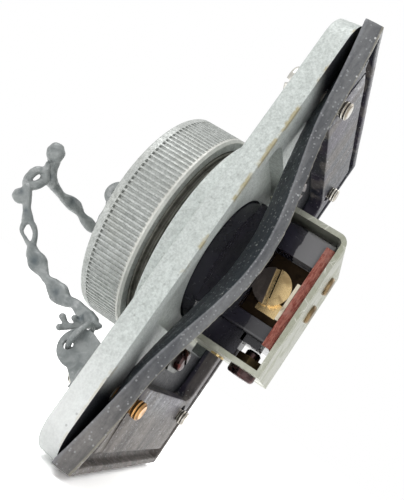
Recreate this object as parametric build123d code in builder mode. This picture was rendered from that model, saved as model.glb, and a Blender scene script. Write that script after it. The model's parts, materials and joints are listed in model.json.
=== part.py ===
from build123d import *
import os
from math import cos, pi, radians, sin

# Weatherproof receptacle with a screw cap on a chain.  Millimetres.
# The origin is the middle of the cover plate's back, which is the mounting face.
# The cap faces -Y, the cover plate stands along Z, and the wall box is on the +Y side.

# --- clearances -------------------------------------------------------------------------
running_gap = 0.3          # between curved faces that move past each other
pivot_gap = 0.05           # a shaft in its own hole
seat_gap = 0.02            # a press seat, left just open
slip_gap = 0.1             # a stamping in its own slot
pocket_gap = 0.2           # a piece in a wider pocket
over_cut = 1.0             # how far a cut runs past the face that it opens

# --- cover plate ------------------------------------------------------------------------
plate_length = 116.0
plate_width = 71.4
plate_thickness = 5.8
plate_corner = 8.5
plate_draft = 5.0          # degrees, so that the casting leaves its mould
plate_edge_round = 1.1
pocket_length = 47.0       # hollow behind the boss
pocket_rim = 3.6           # wall left between the pocket and the plate's long sides
pocket_depth = 4.2
pocket_corner = 4.0
boss_radius = 31.0
boss_rise = 4.7            # above the plate's front face
boss_edge_round = 0.8
opening_radius = 18.1      # round opening for the receptacle
ledge_thickness = 3.0      # ring of the boss that the receptacle's flange sits against
screw_span_x = 50.0
screw_span_z = 81.0
screw_hole_radius = 2.3
yoke_hole_radius = 1.6     # for the screws that hold the yoke strap to the plate
yoke_hole_depth = 4.4
yoke_span_z = 54.0

# --- threaded collar --------------------------------------------------------------------
collar_radius = 26.2
collar_bore_radius = 22.6
thread_pitch = 2.0
thread_depth = 0.9
thread_lead_in = 1.2       # plain stretch before the first ridge
thread_run_out = 0.4       # plain stretch after the last one
ridge_shares = (0.40, 0.55, 0.95)   # of the pitch: crest begins, crest ends, root begins

# --- screw cap --------------------------------------------------------------------------
cap_radius = 29.2
cap_length = 12.0
cap_top_thickness = 2.6
cap_rear_gap = 3.9         # between the boss and the rear of the closed cap
rib_count = 144
rib_groove_radius = 0.42
front_band = 1.9           # plain ring in front of the knurling
rear_band = 1.0            # plain ring behind it
cap_edge_round = 0.7
cap_rear_chamfer = 0.56
cap_dish_radius = 23.0
cap_dish_depth = 0.6
cap_pad_radius = 8.5
cap_pad_rise = 2.6
cap_pad_draft = 12.0
cap_open_turns = 4.5       # turns from closed to free

# --- swivel eye and its washer ----------------------------------------------------------
stud_radius = 2.4
stud_collar_radius = 4.4
stud_collar_height = 1.4
stud_collar_round = 0.5
stud_end = 0.4             # end of the stud behind its washer
eye_radius = 4.0
eye_hole_radius = 2.1
eye_thickness = 1.4
eye_turn = 10.0            # degrees that the eye is turned about the stud
eye_rise = 9.6             # from the cap's pad to the middle of the eye
eye_root_width = 5.4
eye_root_depth = 0.4
washer_radius = 5.5
washer_thickness = 0.9
cap_seal_thickness = 2.0
cap_seal_hole_radius = 6.1

# --- gasket between plate and box -------------------------------------------------------
gasket_thickness = 6.0
gasket_corner = 1.0
gasket_window_corner = 4.0
gasket_band_x = 9.5        # width of the band along each long side
gasket_end_z = 21.5        # length of the web at each end
gasket_lip = 1.9           # width of the raised lip round the edge
gasket_channel = 3.0       # groove that takes the box's rim
gasket_channel_depth = 3.4
gasket_bow = 5.0           # how far the loose side stands off the plate
gasket_bow_half_length = 37.5
gasket_bow_spans = 8       # spans of the bow's curve
gasket_screw_hole_radius = 2.35

# --- screws -----------------------------------------------------------------------------
slot_width = 1.1
slot_depth = 1.2
head_round_share = 0.45    # of the head's height
tip_chamfer_share = 0.25   # of the shank's radius
cover_screw_radius = 2.05  # of the threaded end
cover_neck_radius = 1.75   # the plain neck that keeps the screw in the plate
cover_thread_start = 6.4   # behind the mounting face
cover_screw_tip = 9.6
cover_head_radius = 3.9
cover_head_height = 3.5
cover_slot_turns = (20, 75, 130, -35)
yoke_head_radius = 2.9
yoke_head_height = 1.8
yoke_slot_turn = 25.0
yoke_tip_room = 0.6        # between the tip and the bottom of its hole

# --- receptacle and its terminal block --------------------------------------------------------------------
body_radius = 17.6
body_face_front = 18.4     # front of the receptacle, ahead of the mounting face
face_thickness = 6.2
face_edge_round = 1.2
face_groove_radius = 14.6  # outside of the shallow ring cut in the face
face_groove_width = 0.6
face_groove_depth = 0.5
flange_radius = 21.6
flange_thickness = 2.2
body_round_rear = 1.0      # the round part ends this far ahead of the mounting face
body_edge_round = 0.8
block_top = 15.6
block_bottom = -13.4
block_half_width = 12.4
well_top = 8.0             # terminal well between the two shoulders
well_bottom = -9.2
well_front = 8.4           # the wells begin this far behind the mounting face
well_web = 2.0             # left between a well and the cavity ahead of it
cavity_length = 10.0
cavity_z = 0.5
cavity_room = 0.6          # for a leaf to spring back
blade_slot_length = 9.0
blade_slot_width = 2.0
blade_slot_z = 1.0
blade_spacing = 12.7
ground_slot_z = -9.0
ground_slot_radius = 2.5
ground_cavity_radius = 3.3
face_screw_z = 12.0
face_screw_radius = 1.28
face_screw_length = 11.0
face_screw_head_radius = 2.9
face_screw_head_height = 1.4
face_screw_hole_radius = 1.7
face_screw_thread_depth = 8.0
face_recess_radius = 3.1
face_recess_depth = 1.6

# --- terminals --------------------------------------------------------------------------
terminal_thickness = 1.0
terminal_margin = 0.5      # from the plate's edge to the side of its well
terminal_lip = 4.0
terminal_lip_height = 11.6
terminal_lip_drop = 1.0
tongue_front = 8.9         # the tongue reaches this far ahead of the mounting face
terminal_screw_radius = 2.2
terminal_screw_length = 6.0
terminal_head_radius = 4.4
terminal_head_height = 2.0
terminal_slot_turns = {1: 94.0, -1: 86.0}
terminal_screw_z = -0.8
terminal_screw_y = 14.5    # behind the mounting face
contact_thickness = 0.8
contact_width = 6.0
contact_front = 11.0       # the leaves reach this far ahead of the mounting face
contact_rear = 5.4         # and this far behind it
contact_gap = 1.7          # between the two leaves, where the blade goes

# --- yoke strap and its insulator -------------------------------------------------------
strap_thickness = 1.3
strap_width = 30.0
strap_top = 18.2           # outside of the upper leg
strap_bottom = -20.8       # outside of the lower leg
strap_rear = 22.3
strap_bend = 2.6
strap_ear_reach = 31.0     # from the middle to the end of each of the strap's ears
strap_ear_width = 12.0
strap_ear_round = 2.5
fibre_thickness = 0.8
fibre_lip = 2.6
fibre_bend = 0.7
fibre_overhang = 0.4       # below the block
fibre_short = 1.2          # how much shorter than the block it is
rivet_radius = 1.5
rivet_head_radius = 2.6
rivet_head_height = 1.0
rivet_head_round = 0.7
rivet_spacing = 8.6
rivet_middle_z = 4.8
rivet_grip = 5.0           # length of shank in the block

# --- grounding --------------------------------------------------------------------------
ground_screw_radius = 1.9
ground_screw_length = 5.2
ground_slot_turn = 30.0
ground_head_radius = 3.6
ground_head_height = 2.0
ground_screw_x = 6.0
ground_screw_y = 17.2
ground_nut_radius = 3.6
ground_nut_height = 2.2
eyelet_y = 8.8
eyelet_radius = 1.2
eyelet_hole_radius = 0.66
eyelet_flange_radius = 1.9
eyelet_flange = 0.5
ground_sleeve_wall = 0.6
ground_tail_thickness = 0.8   # strip from the grounding contact to the strap
ground_tail_width = 4.4
ground_tail_end = 2.6      # past the middle of the eyelet

# --- chain ear --------------------------------------------------------------------------
lug_thickness = 1.2
lug_turn = -14.0           # degrees that the lug is turned under its screw
lug_base_radius = 5.2
lug_offset = 6.2           # from the screw's axis to the outer face of the upright tab
lug_base_width = 10.6
lug_top_radius = 4.2
lug_hole_radius = 2.3
lug_hole_rise = 7.0        # from the plate's front face to the middle of the hole
lug_lean = 1.6             # how far the tab leans towards the cap

# --- chain ------------------------------------------------------------------------------
wire_radius = 0.55
loop_width = 4.4           # outside width of each loop
link_reach = 12.0          # from one end of a link to the other, along the middle of the wire
waist_lap = 0.15           # how far the two loops of a link run into each other at its waist
ring_radius = 4.0          # to the middle of the wire
ring_offset = 0.6          # from the middle of the lug's hole to the ring's wire
tail_radius = 0.95
tail_length = 3.6

# Each link: the middle of its wire at the start, the way it runs, and the way its first loop faces.
upper_chain = [
    ((0.0, -37.8, 0.2), (0.17, -0.16, -0.97), (0.2, 1.0, -0.1)),
    ((0.4, -37.3, -10.3), (0.92, -0.39, 0.04), (-0.1, -0.4, -0.9)),
    ((9.1, -41.2, -9.9), (0.94, -0.34, -0.07), (-0.2, -0.3, -0.9)),
    ((18.5, -44.9, -10.5), (0.83, 0.03, 0.55), (0.5, -0.4, -0.8)),
]
lower_chain = [
    ((25.3, -45.2, -6.1), (0.14, -0.07, -0.99), (1.0, 0.1, 0.1)),
    ((26.1, -47.4, -15.9), (-0.34, 0.76, -0.56), (0.6, -0.3, -0.7)),
    ((22.4, -41.0, -21.6), (0.04, 0.85, -0.53), (0.8, -0.3, -0.5)),
    ((22.6, -32.8, -27.2), (-0.05, 0.95, -0.29), (-0.8, 0.1, 0.6)),
    ((21.8, -22.9, -30.6), (0.32, 0.93, -0.18), (0.7, -0.4, -0.6)),
]
ring_grip = 9.8            # from the last link's start to the ring's wire
tail_grip = 8.6            # from the last link's start to the foot of the tails
tail_directions = [(0.4, -0.85, -0.2), (0.35, -0.9, 0.2), (0.33, -0.62, -0.7)]

# --- derived places ---------------------------------------------------------------------
boss_front = plate_thickness + boss_rise
cap_rear = boss_front + cap_rear_gap
cap_front = cap_rear + cap_length
cap_bore_radius = collar_radius + running_gap
cap_inner_top = cap_front - cap_top_thickness
collar_front = cap_inner_top - cap_seal_thickness
ledge_rear = boss_front - ledge_thickness
pad_front = cap_front + cap_pad_rise
cap_lift = cap_open_turns * thread_pitch
strap_inner_rear = strap_rear - strap_thickness
block_rear = strap_inner_rear - fibre_thickness
terminal_floor = blade_spacing / 2 + contact_gap / 2 + contact_thickness

front = Plane.XZ           # offset(h) is a plane h in front of the mounting face
os.makedirs("parts", exist_ok=True)


def save(part, name):
    part.label = name
    export_step(part, f"parts/{name}.step")


def screw_corners():
    return GridLocations(screw_span_x, screw_span_z, 2, 2)


def yoke_holes():
    return GridLocations(0, yoke_span_z, 1, 2)


# ===== cover plate ======================================================================
def collar_outline():
    """Half section of the threaded collar, as (radius, distance in front)."""
    root = collar_radius - thread_depth
    crest_start, crest_end, root_start = (share * thread_pitch for share in ridge_shares)
    points = [(collar_bore_radius, boss_front), (root, boss_front)]
    ridge = boss_front + thread_lead_in
    while ridge + thread_pitch <= collar_front - thread_run_out:
        points += [
            (root, ridge),
            (collar_radius, ridge + crest_start),
            (collar_radius, ridge + crest_end),
            (root, ridge + root_start),
        ]
        ridge += thread_pitch
    return points + [(root, collar_front), (collar_bore_radius, collar_front)]


with BuildPart() as cover_plate:
    with BuildSketch(front):
        RectangleRounded(plate_width, plate_length, plate_corner)
    extrude(amount=plate_thickness, taper=plate_draft)
    fillet(cover_plate.faces().sort_by(Axis.Y)[0].edges(), plate_edge_round)
    with BuildSketch(front.offset(plate_thickness)):
        Circle(boss_radius)
    extrude(amount=boss_rise)
    fillet(cover_plate.faces().sort_by(Axis.Y)[0].edges(), boss_edge_round)
    with BuildSketch(front):
        RectangleRounded(plate_width - 2 * pocket_rim, pocket_length, pocket_corner)
    extrude(amount=pocket_depth, mode=Mode.SUBTRACT)
    with BuildSketch(front):
        Circle(opening_radius)
    extrude(amount=boss_front + over_cut, mode=Mode.SUBTRACT)
    with BuildSketch(front.offset(ledge_rear)):
        Circle(collar_bore_radius)
    extrude(amount=collar_front, mode=Mode.SUBTRACT)
    with BuildSketch(front):
        with screw_corners():
            Circle(screw_hole_radius)
    extrude(amount=boss_front, mode=Mode.SUBTRACT)
    with BuildSketch(front):
        with yoke_holes():
            Circle(yoke_hole_radius)
    extrude(amount=yoke_hole_depth, mode=Mode.SUBTRACT)
save(cover_plate.part, "cover_plate")

with BuildPart() as threaded_collar:
    with BuildSketch(Plane.XY):
        with BuildLine():
            Polyline([(radius, -ahead) for radius, ahead in collar_outline()], close=True)
        make_face()
    revolve(axis=Axis.Y)
save(threaded_collar.part, "threaded_collar")


# ===== gasket ===========================================================================
def bow(z):
    """How far the loose side of the gasket stands off the plate at height z."""
    if abs(z) >= gasket_bow_half_length:
        return 0.0
    return gasket_bow * cos(pi * z / (2 * gasket_bow_half_length)) ** 2


def bowed_band(near_x, width, ahead_offset, depth):
    """A strip along the loose side, from ahead_offset behind its front, depth thick."""
    steps = range(gasket_bow_spans + 1)
    heights = [gasket_bow_half_length * (2 * i / gasket_bow_spans - 1) for i in steps]
    with BuildPart() as band:
        with BuildSketch(Plane.YZ.offset(near_x)):
            with BuildLine():
                lead = Spline([(bow(z) + ahead_offset, z) for z in heights], tangents=[(0, 1), (0, 1)])
                back = Spline(
                    [(bow(z) + ahead_offset + depth, z) for z in heights], tangents=[(0, 1), (0, 1)]
                )
                Line(lead @ 0, back @ 0)
                Line(lead @ 1, back @ 1)
            make_face()
        extrude(amount=width)
    return band.part


gasket_inner_x = plate_width / 2 - gasket_band_x
with BuildPart() as box_gasket:
    with BuildSketch(front.offset(-gasket_thickness)):
        RectangleRounded(plate_width, plate_length, gasket_corner)
        RectangleRounded(
            plate_width - 2 * gasket_band_x,
            plate_length - 2 * gasket_end_z,
            gasket_window_corner,
            mode=Mode.SUBTRACT,
        )
    extrude(amount=gasket_thickness)
    with BuildSketch(front.offset(-gasket_thickness)):
        RectangleRounded(
            plate_width - 2 * gasket_lip, plate_length - 2 * gasket_lip, gasket_corner
        )
        RectangleRounded(
            plate_width - 2 * (gasket_lip + gasket_channel),
            plate_length - 2 * (gasket_lip + gasket_channel),
            gasket_corner,
            mode=Mode.SUBTRACT,
        )
    extrude(amount=gasket_channel_depth, mode=Mode.SUBTRACT)
    with BuildSketch(Plane.YZ.offset(gasket_inner_x)):
        with Locations((gasket_thickness / 2, 0)):
            Rectangle(gasket_thickness * 2, 2 * gasket_bow_half_length)
    extrude(amount=gasket_band_x + over_cut, mode=Mode.SUBTRACT)
    add(bowed_band(gasket_inner_x, gasket_band_x, 0, gasket_thickness))
    add(
        bowed_band(
            plate_width / 2 - gasket_lip - gasket_channel,
            gasket_channel,
            gasket_thickness - gasket_channel_depth,
            gasket_channel_depth + over_cut,
        ),
        mode=Mode.SUBTRACT,
    )
    with BuildSketch(front.offset(-2 * gasket_thickness)):
        with screw_corners():
            Circle(gasket_screw_hole_radius)
    extrude(amount=2 * gasket_thickness, mode=Mode.SUBTRACT)
save(box_gasket.part, "box_gasket")


# ===== slotted screws ===================================================================
def slotted_screw(plane, shank_radius, shank_length, head_radius, head_height, slot_turn=0.0):
    """A screw whose head sits on the plane and points along its normal."""
    with BuildPart() as screw:
        with BuildSketch(plane):
            Circle(head_radius)
        extrude(amount=head_height)
        rims = screw.edges().filter_by(GeomType.CIRCLE).sort_by(plane_axis(plane))
        fillet(rims[-1], head_height * head_round_share)
        with BuildSketch(plane.offset(-shank_length)):
            Circle(shank_radius)
        extrude(amount=shank_length)
        rims = screw.edges().filter_by(GeomType.CIRCLE).sort_by(plane_axis(plane))
        chamfer(rims[0], shank_radius * tip_chamfer_share)
        with BuildSketch(plane.offset(head_height)):
            Rectangle(2 * (head_radius + over_cut), slot_width, rotation=slot_turn)
        extrude(amount=-slot_depth, mode=Mode.SUBTRACT)
    return screw.part


def plane_axis(plane):
    return Axis(plane.origin, plane.z_dir)


lug_screw = (screw_span_x / 2, -screw_span_z / 2)


def cover_screw(x, z, slot_turn):
    """One of the four screws, with a plain neck where it passes through the plate."""
    ahead = plate_thickness + (lug_thickness if (x, z) == lug_screw else 0)
    head_plane = Plane(origin=(x, -ahead, z), x_dir=(1, 0, 0), z_dir=(0, -1, 0))
    whole = slotted_screw(
        head_plane, cover_screw_radius, cover_screw_tip + ahead, cover_head_radius,
        cover_head_height, slot_turn,
    )
    with BuildPart() as screw:
        add(whole)
        with BuildSketch(Plane(origin=(x, 0, z), x_dir=(1, 0, 0), z_dir=(0, 1, 0)).offset(-ahead)):
            Circle(cover_screw_radius + over_cut)
            Circle(cover_neck_radius, mode=Mode.SUBTRACT)
        extrude(amount=ahead + cover_thread_start, mode=Mode.SUBTRACT)
    return screw.part


corners = [(x * screw_span_x / 2, z * screw_span_z / 2) for x in (-1, 1) for z in (-1, 1)]
cover_screw_solids = [cover_screw(x, z, turn) for (x, z), turn in zip(corners, cover_slot_turns)]
save(Compound(cover_screw_solids), "cover_screws")

yoke_screw_solids = [
    slotted_screw(
        Plane(origin=(0, strap_thickness, side * yoke_span_z / 2), x_dir=(1, 0, 0), z_dir=(0, 1, 0)),
        yoke_hole_radius - seat_gap, strap_thickness + yoke_hole_depth - yoke_tip_room,
        yoke_head_radius, yoke_head_height, yoke_slot_turn * side,
    )
    for side in (-1, 1)
]
save(Compound(yoke_screw_solids), "yoke_screws")


# ===== chain lug ========================================================================
lug_face = Plane(
    origin=(lug_screw[0], -plate_thickness, lug_screw[1]),
    x_dir=(cos(radians(lug_turn)), 0, -sin(radians(lug_turn))),
    z_dir=(0, -1, 0),
)
lug_tab_face = Plane(
    origin=lug_face.from_local_coords((lug_offset, 0, 0)), x_dir=lug_face.y_dir, z_dir=lug_face.x_dir
)
with BuildPart() as chain_lug:
    with BuildSketch(lug_face):
        Circle(lug_base_radius)
        with Locations((lug_offset / 2, 0)):
            Rectangle(lug_offset, lug_base_width)
    extrude(amount=lug_thickness)
    with BuildSketch(lug_tab_face):
        with Locations((0, lug_thickness / 2)):
            Rectangle(lug_base_width, lug_thickness)
        with Locations((lug_lean, lug_hole_rise)):
            Circle(lug_top_radius)
        make_hull()
    extrude(amount=-lug_thickness)
    with BuildSketch(lug_tab_face):
        with Locations((lug_lean, lug_hole_rise)):
            Circle(lug_hole_radius)
    extrude(amount=-lug_thickness, mode=Mode.SUBTRACT)
    with BuildSketch(lug_face):
        Circle(screw_hole_radius)
    extrude(amount=lug_thickness, mode=Mode.SUBTRACT)
save(chain_lug.part, "chain_lug")


# ===== receptacle =======================================================================
def blade_slots():
    """The two blade slots and the grounding slot, on a plane that faces the front."""
    with Locations((blade_spacing / 2, blade_slot_z), (-blade_spacing / 2, blade_slot_z)):
        Rectangle(blade_slot_width, blade_slot_length)
    with Locations((0, ground_slot_z)):
        Circle(ground_slot_radius)


face_rear = body_face_front - face_thickness
with BuildPart() as receptacle_face:
    with BuildSketch(front.offset(face_rear)):
        Circle(body_radius)
    extrude(amount=face_thickness)
    fillet(receptacle_face.faces().sort_by(Axis.Y)[0].edges(), face_edge_round)
    with BuildSketch(front.offset(body_face_front)):
        Circle(face_groove_radius)
        Circle(face_groove_radius - face_groove_width, mode=Mode.SUBTRACT)
    extrude(amount=-face_groove_depth, mode=Mode.SUBTRACT)
    with BuildSketch(front.offset(face_rear)):
        blade_slots()
        with Locations((0, face_screw_z)):
            Circle(face_screw_hole_radius)
    extrude(amount=face_thickness, mode=Mode.SUBTRACT)
    with BuildSketch(front.offset(body_face_front)):
        with Locations((0, face_screw_z)):
            Circle(face_recess_radius)
    extrude(amount=-face_recess_depth, mode=Mode.SUBTRACT)
save(receptacle_face.part, "receptacle_face")

rivet_places = [(0, rivet_middle_z + rivet_spacing / 2), (0, rivet_middle_z - rivet_spacing / 2)]
block_height = block_top - block_bottom
block_middle = (block_top + block_bottom) / 2
well_height = well_top - well_bottom
well_middle = (well_top + well_bottom) / 2
well_width = block_half_width + over_cut - terminal_floor
cavity_rear = well_front - well_web
cavity_inner = blade_spacing / 2 - contact_gap / 2 - contact_thickness - cavity_room
cavity_width = terminal_floor + terminal_thickness + running_gap - cavity_inner


def cavity_openings():
    """The two contact cavities and the round grounding one, on a plane that faces the front."""
    for side in (-1, 1):
        with Locations((side * (cavity_inner + cavity_width / 2), cavity_z)):
            Rectangle(cavity_width, cavity_length)
    with Locations((0, ground_slot_z)):
        Circle(ground_cavity_radius)


with BuildPart() as receptacle_body:
    with BuildSketch(front.offset(body_round_rear)):
        Circle(body_radius)
    extrude(amount=face_rear - body_round_rear)
    with BuildSketch(front.offset(ledge_rear)):
        Circle(flange_radius)
    extrude(amount=flange_thickness)
    with BuildSketch(front.offset(body_round_rear)):
        cavity_openings()
    extrude(amount=face_rear - body_round_rear, mode=Mode.SUBTRACT)
    with BuildSketch(front.offset(face_rear)):
        with Locations((0, face_screw_z)):
            Circle(face_screw_radius + seat_gap)
    extrude(amount=-face_screw_thread_depth, mode=Mode.SUBTRACT)
save(receptacle_body.part, "receptacle_body")

with BuildPart() as terminal_block:
    with BuildSketch(front.offset(-block_rear)):
        with Locations((0, block_middle)):
            Rectangle(2 * block_half_width, block_height)
    extrude(amount=block_rear + body_round_rear)
    fillet(terminal_block.edges().filter_by(Axis.Y), body_edge_round)
    for side in (-1, 1):
        with BuildSketch(front.offset(-block_rear)):
            with Locations((side * (terminal_floor + well_width / 2), well_middle)):
                Rectangle(well_width, well_height)
        extrude(amount=block_rear - well_front, mode=Mode.SUBTRACT)
        with BuildSketch(front.offset(-well_front)):
            with Locations((side * (terminal_floor + terminal_thickness / 2), terminal_screw_z)):
                Rectangle(terminal_thickness + 2 * slip_gap, contact_width + 2 * pocket_gap)
        extrude(amount=well_front - cavity_rear, mode=Mode.SUBTRACT)
        with BuildSketch(Plane.YZ):
            with Locations((terminal_screw_y, terminal_screw_z)):
                Circle(terminal_screw_radius + running_gap)
        extrude(amount=side * (terminal_floor + over_cut), mode=Mode.SUBTRACT)
    with BuildSketch(front.offset(-cavity_rear)):
        cavity_openings()
    extrude(amount=cavity_rear + body_round_rear, mode=Mode.SUBTRACT)
    slot_end = block_bottom - over_cut
    with BuildSketch(front.offset(-contact_rear - slip_gap)):
        with Locations((0, (ground_slot_z + slot_end) / 2)):
            Rectangle(ground_tail_width + 2 * pocket_gap, ground_slot_z - slot_end)
    extrude(amount=ground_tail_thickness + 2 * slip_gap, mode=Mode.SUBTRACT)
    with BuildSketch(front.offset(-block_rear)):
        with Locations(*rivet_places):
            Circle(rivet_radius + seat_gap)
    extrude(amount=rivet_grip, mode=Mode.SUBTRACT)
save(terminal_block.part, "terminal_block")

face_screw = slotted_screw(
    Plane(
        origin=(0, face_recess_depth - body_face_front, face_screw_z), x_dir=(1, 0, 0), z_dir=(0, -1, 0)
    ),
    face_screw_radius, face_screw_length, face_screw_head_radius, face_screw_head_height,
)
save(face_screw, "face_screw")


# ===== terminals and contacts ===========================================================
def terminal(side):
    """Brass terminal plate with a lip at its rear and a tongue that reaches the contact."""
    with BuildPart() as plate:
        with BuildSketch(Plane.YZ.offset(side * terminal_floor)):
            with Locations(((well_front + block_rear) / 2, well_middle)):
                Rectangle(block_rear - well_front - 2 * slip_gap, well_height - 2 * terminal_margin)
            with Locations((0, terminal_screw_z)):
                Rectangle(2 * tongue_front, contact_width)
            with Locations((terminal_screw_y, terminal_screw_z)):
                Circle(terminal_screw_radius + seat_gap, mode=Mode.SUBTRACT)
        extrude(amount=side * terminal_thickness)
        with BuildSketch(front.offset(slip_gap - block_rear)):
            with Locations((side * (terminal_floor + terminal_lip / 2), well_middle - terminal_lip_drop)):
                Rectangle(terminal_lip, terminal_lip_height)
        extrude(amount=terminal_thickness)
    return plate.part


def contact(side):
    """Spring contact: two leaves joined by a bridge at the rear."""
    middle = side * blade_spacing / 2
    outside = contact_gap + 2 * contact_thickness
    with BuildPart() as spring:
        with BuildSketch(Plane.XY.offset(terminal_screw_z - contact_width / 2)):
            with Locations((middle, (contact_rear - contact_front) / 2)):
                Rectangle(outside, contact_rear + contact_front)
            with Locations((middle, (contact_rear - contact_front) / 2 - contact_thickness)):
                Rectangle(contact_gap, contact_rear + contact_front, mode=Mode.SUBTRACT)
        extrude(amount=contact_width)
    return spring.part


def terminal_screw(side):
    floor = terminal_floor + terminal_thickness
    plane = Plane(
        origin=(side * floor, terminal_screw_y, terminal_screw_z), x_dir=(0, 1, 0), z_dir=(side, 0, 0)
    )
    return slotted_screw(
        plane, terminal_screw_radius, terminal_screw_length, terminal_head_radius,
        terminal_head_height, terminal_slot_turns[side],
    )


for name, side in (("line", 1), ("neutral", -1)):
    save(terminal(side), f"{name}_terminal")
    save(contact(side), f"{name}_contact")
    save(terminal_screw(side), f"{name}_terminal_screw")


# ===== yoke strap =======================================================================
strap_height = strap_top - strap_bottom
strap_middle = (strap_top + strap_bottom) / 2
with BuildPart() as yoke_strap:
    with BuildSketch(Plane.YZ) as outline:
        with Locations((strap_rear / 2, strap_middle)):
            Rectangle(strap_rear, strap_height)
        fillet(outline.vertices().sort_by(Axis.Y)[-2:], strap_bend)
    extrude(amount=strap_width / 2, both=True)
    with BuildSketch(Plane.YZ) as hollow:
        with Locations(((strap_inner_rear - over_cut) / 2, strap_middle)):
            Rectangle(strap_inner_rear + over_cut, strap_height - 2 * strap_thickness)
        fillet(hollow.vertices().sort_by(Axis.Y)[-2:], strap_bend - strap_thickness)
    extrude(amount=strap_width / 2, both=True, mode=Mode.SUBTRACT)
    with BuildSketch(front.offset(-strap_thickness)):
        for end, leg in ((strap_ear_reach, strap_top), (-strap_ear_reach, strap_bottom)):
            inner = leg * (1 - strap_thickness / abs(leg))
            with Locations((0, (end + inner) / 2)):
                Rectangle(strap_ear_width, abs(end - inner))
    extrude(amount=strap_thickness)
    with BuildSketch(front.offset(-strap_rear)):
        with Locations(*rivet_places):
            Circle(rivet_radius + seat_gap)
    extrude(amount=strap_thickness, mode=Mode.SUBTRACT)
    with BuildSketch(front.offset(-strap_thickness)):
        with yoke_holes():
            Circle(yoke_hole_radius + pivot_gap)
    extrude(amount=strap_thickness, mode=Mode.SUBTRACT)
    with BuildSketch(Plane.XY.offset(strap_bottom)):
        with Locations((ground_screw_x, ground_screw_y)):
            Circle(ground_screw_radius + pivot_gap)
        with Locations((0, eyelet_y)):
            Circle(eyelet_radius + seat_gap)
    extrude(amount=strap_thickness, mode=Mode.SUBTRACT)
    ear_edges = yoke_strap.edges().filter_by(Axis.Y).sort_by(Axis.Z)
    fillet(ear_edges[:2] + ear_edges[-2:], strap_ear_round)
save(yoke_strap.part, "yoke_strap")

# ===== red fibre insulator ==============================================================
fibre_half_width = block_half_width + slip_gap + fibre_thickness
with BuildPart() as fibre_insulator:
    with BuildSketch(Plane.XY.offset(block_bottom - fibre_overhang)) as channel:
        with Locations((0, strap_inner_rear - fibre_lip / 2)):
            Rectangle(2 * fibre_half_width, fibre_lip)
        fillet(channel.vertices().sort_by(Axis.Y)[-2:], fibre_bend)
        with Locations((0, block_rear - fibre_lip / 2)):
            Rectangle(2 * fibre_half_width - 2 * fibre_thickness, fibre_lip, mode=Mode.SUBTRACT)
    extrude(amount=block_height - fibre_short)
    with BuildSketch(front.offset(-strap_inner_rear)):
        with Locations(*rivet_places):
            Circle(rivet_radius + seat_gap)
    extrude(amount=fibre_thickness, mode=Mode.SUBTRACT)
save(fibre_insulator.part, "fibre_insulator")

# ===== rivets, ground screw, nut, eyelet and ground contact =============================
rivet_solids = []
for _, z in rivet_places:
    with BuildPart() as rivet:
        with BuildSketch(Plane(origin=(0, strap_rear, z), x_dir=(1, 0, 0), z_dir=(0, 1, 0))):
            Circle(rivet_head_radius)
        extrude(amount=rivet_head_height)
        fillet(rivet.edges().sort_by(Axis.Y)[-1], rivet_head_round)
        with BuildSketch(Plane(origin=(0, strap_rear, z), x_dir=(1, 0, 0), z_dir=(0, 1, 0))):
            Circle(rivet_radius)
        extrude(amount=-(strap_thickness + fibre_thickness + rivet_grip - slip_gap))
    rivet_solids.append(rivet.part)
save(Compound(rivet_solids), "strap_rivets")

ground_plane = Plane(
    origin=(ground_screw_x, ground_screw_y, strap_bottom), x_dir=(1, 0, 0), z_dir=(0, 0, -1)
)
ground_screw = slotted_screw(
    ground_plane, ground_screw_radius, ground_screw_length, ground_head_radius, ground_head_height,
    ground_slot_turn,
)
save(ground_screw, "ground_screw")
with BuildPart() as ground_nut:
    with BuildSketch(Plane.XY.offset(strap_bottom + strap_thickness)):
        with Locations((ground_screw_x, ground_screw_y)):
            RegularPolygon(ground_nut_radius, 6)
            Circle(ground_screw_radius + seat_gap, mode=Mode.SUBTRACT)
    extrude(amount=ground_nut_height)
save(ground_nut.part, "ground_nut")

leg_inner = strap_bottom + strap_thickness
with BuildPart() as ground_eyelet:
    with BuildSketch(Plane.XY.offset(strap_bottom - eyelet_flange)):
        with Locations((0, eyelet_y)):
            Circle(eyelet_flange_radius)
    extrude(amount=eyelet_flange)
    with BuildSketch(Plane.XY.offset(strap_bottom)):
        with Locations((0, eyelet_y)):
            Circle(eyelet_radius)
    extrude(amount=strap_thickness + ground_tail_thickness)
    with BuildSketch(Plane.XY.offset(leg_inner + ground_tail_thickness)):
        with Locations((0, eyelet_y)):
            Circle(eyelet_flange_radius)
    extrude(amount=eyelet_flange)
    with BuildSketch(Plane.XY.offset(strap_bottom - eyelet_flange)):
        with Locations((0, eyelet_y)):
            Circle(eyelet_hole_radius)
    extrude(amount=strap_thickness + ground_tail_thickness + 2 * eyelet_flange, mode=Mode.SUBTRACT)
save(ground_eyelet.part, "ground_eyelet")

sleeve_radius = ground_cavity_radius - pocket_gap
tail_front, tail_rear = contact_rear - ground_tail_thickness, eyelet_y + ground_tail_end
with BuildPart() as ground_contact:
    with BuildSketch(front.offset(-contact_rear)):
        with Locations((0, ground_slot_z)):
            Circle(sleeve_radius)
    extrude(amount=contact_rear + contact_front)
    with BuildSketch(front.offset(-contact_rear + ground_tail_thickness)):
        with Locations((0, ground_slot_z)):
            Circle(sleeve_radius - ground_sleeve_wall)
    extrude(amount=contact_rear + contact_front, mode=Mode.SUBTRACT)
    with BuildSketch(front.offset(-contact_rear)):
        with Locations((0, (ground_slot_z + leg_inner) / 2)):
            Rectangle(ground_tail_width, ground_slot_z - leg_inner)
    extrude(amount=ground_tail_thickness)
    with BuildSketch(Plane.XY.offset(leg_inner)):
        with Locations((0, (tail_front + tail_rear) / 2)):
            Rectangle(ground_tail_width, tail_rear - tail_front)
        with Locations((0, eyelet_y)):
            Circle(eyelet_radius + seat_gap, mode=Mode.SUBTRACT)
    extrude(amount=ground_tail_thickness)
save(ground_contact.part, "ground_contact")


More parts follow.
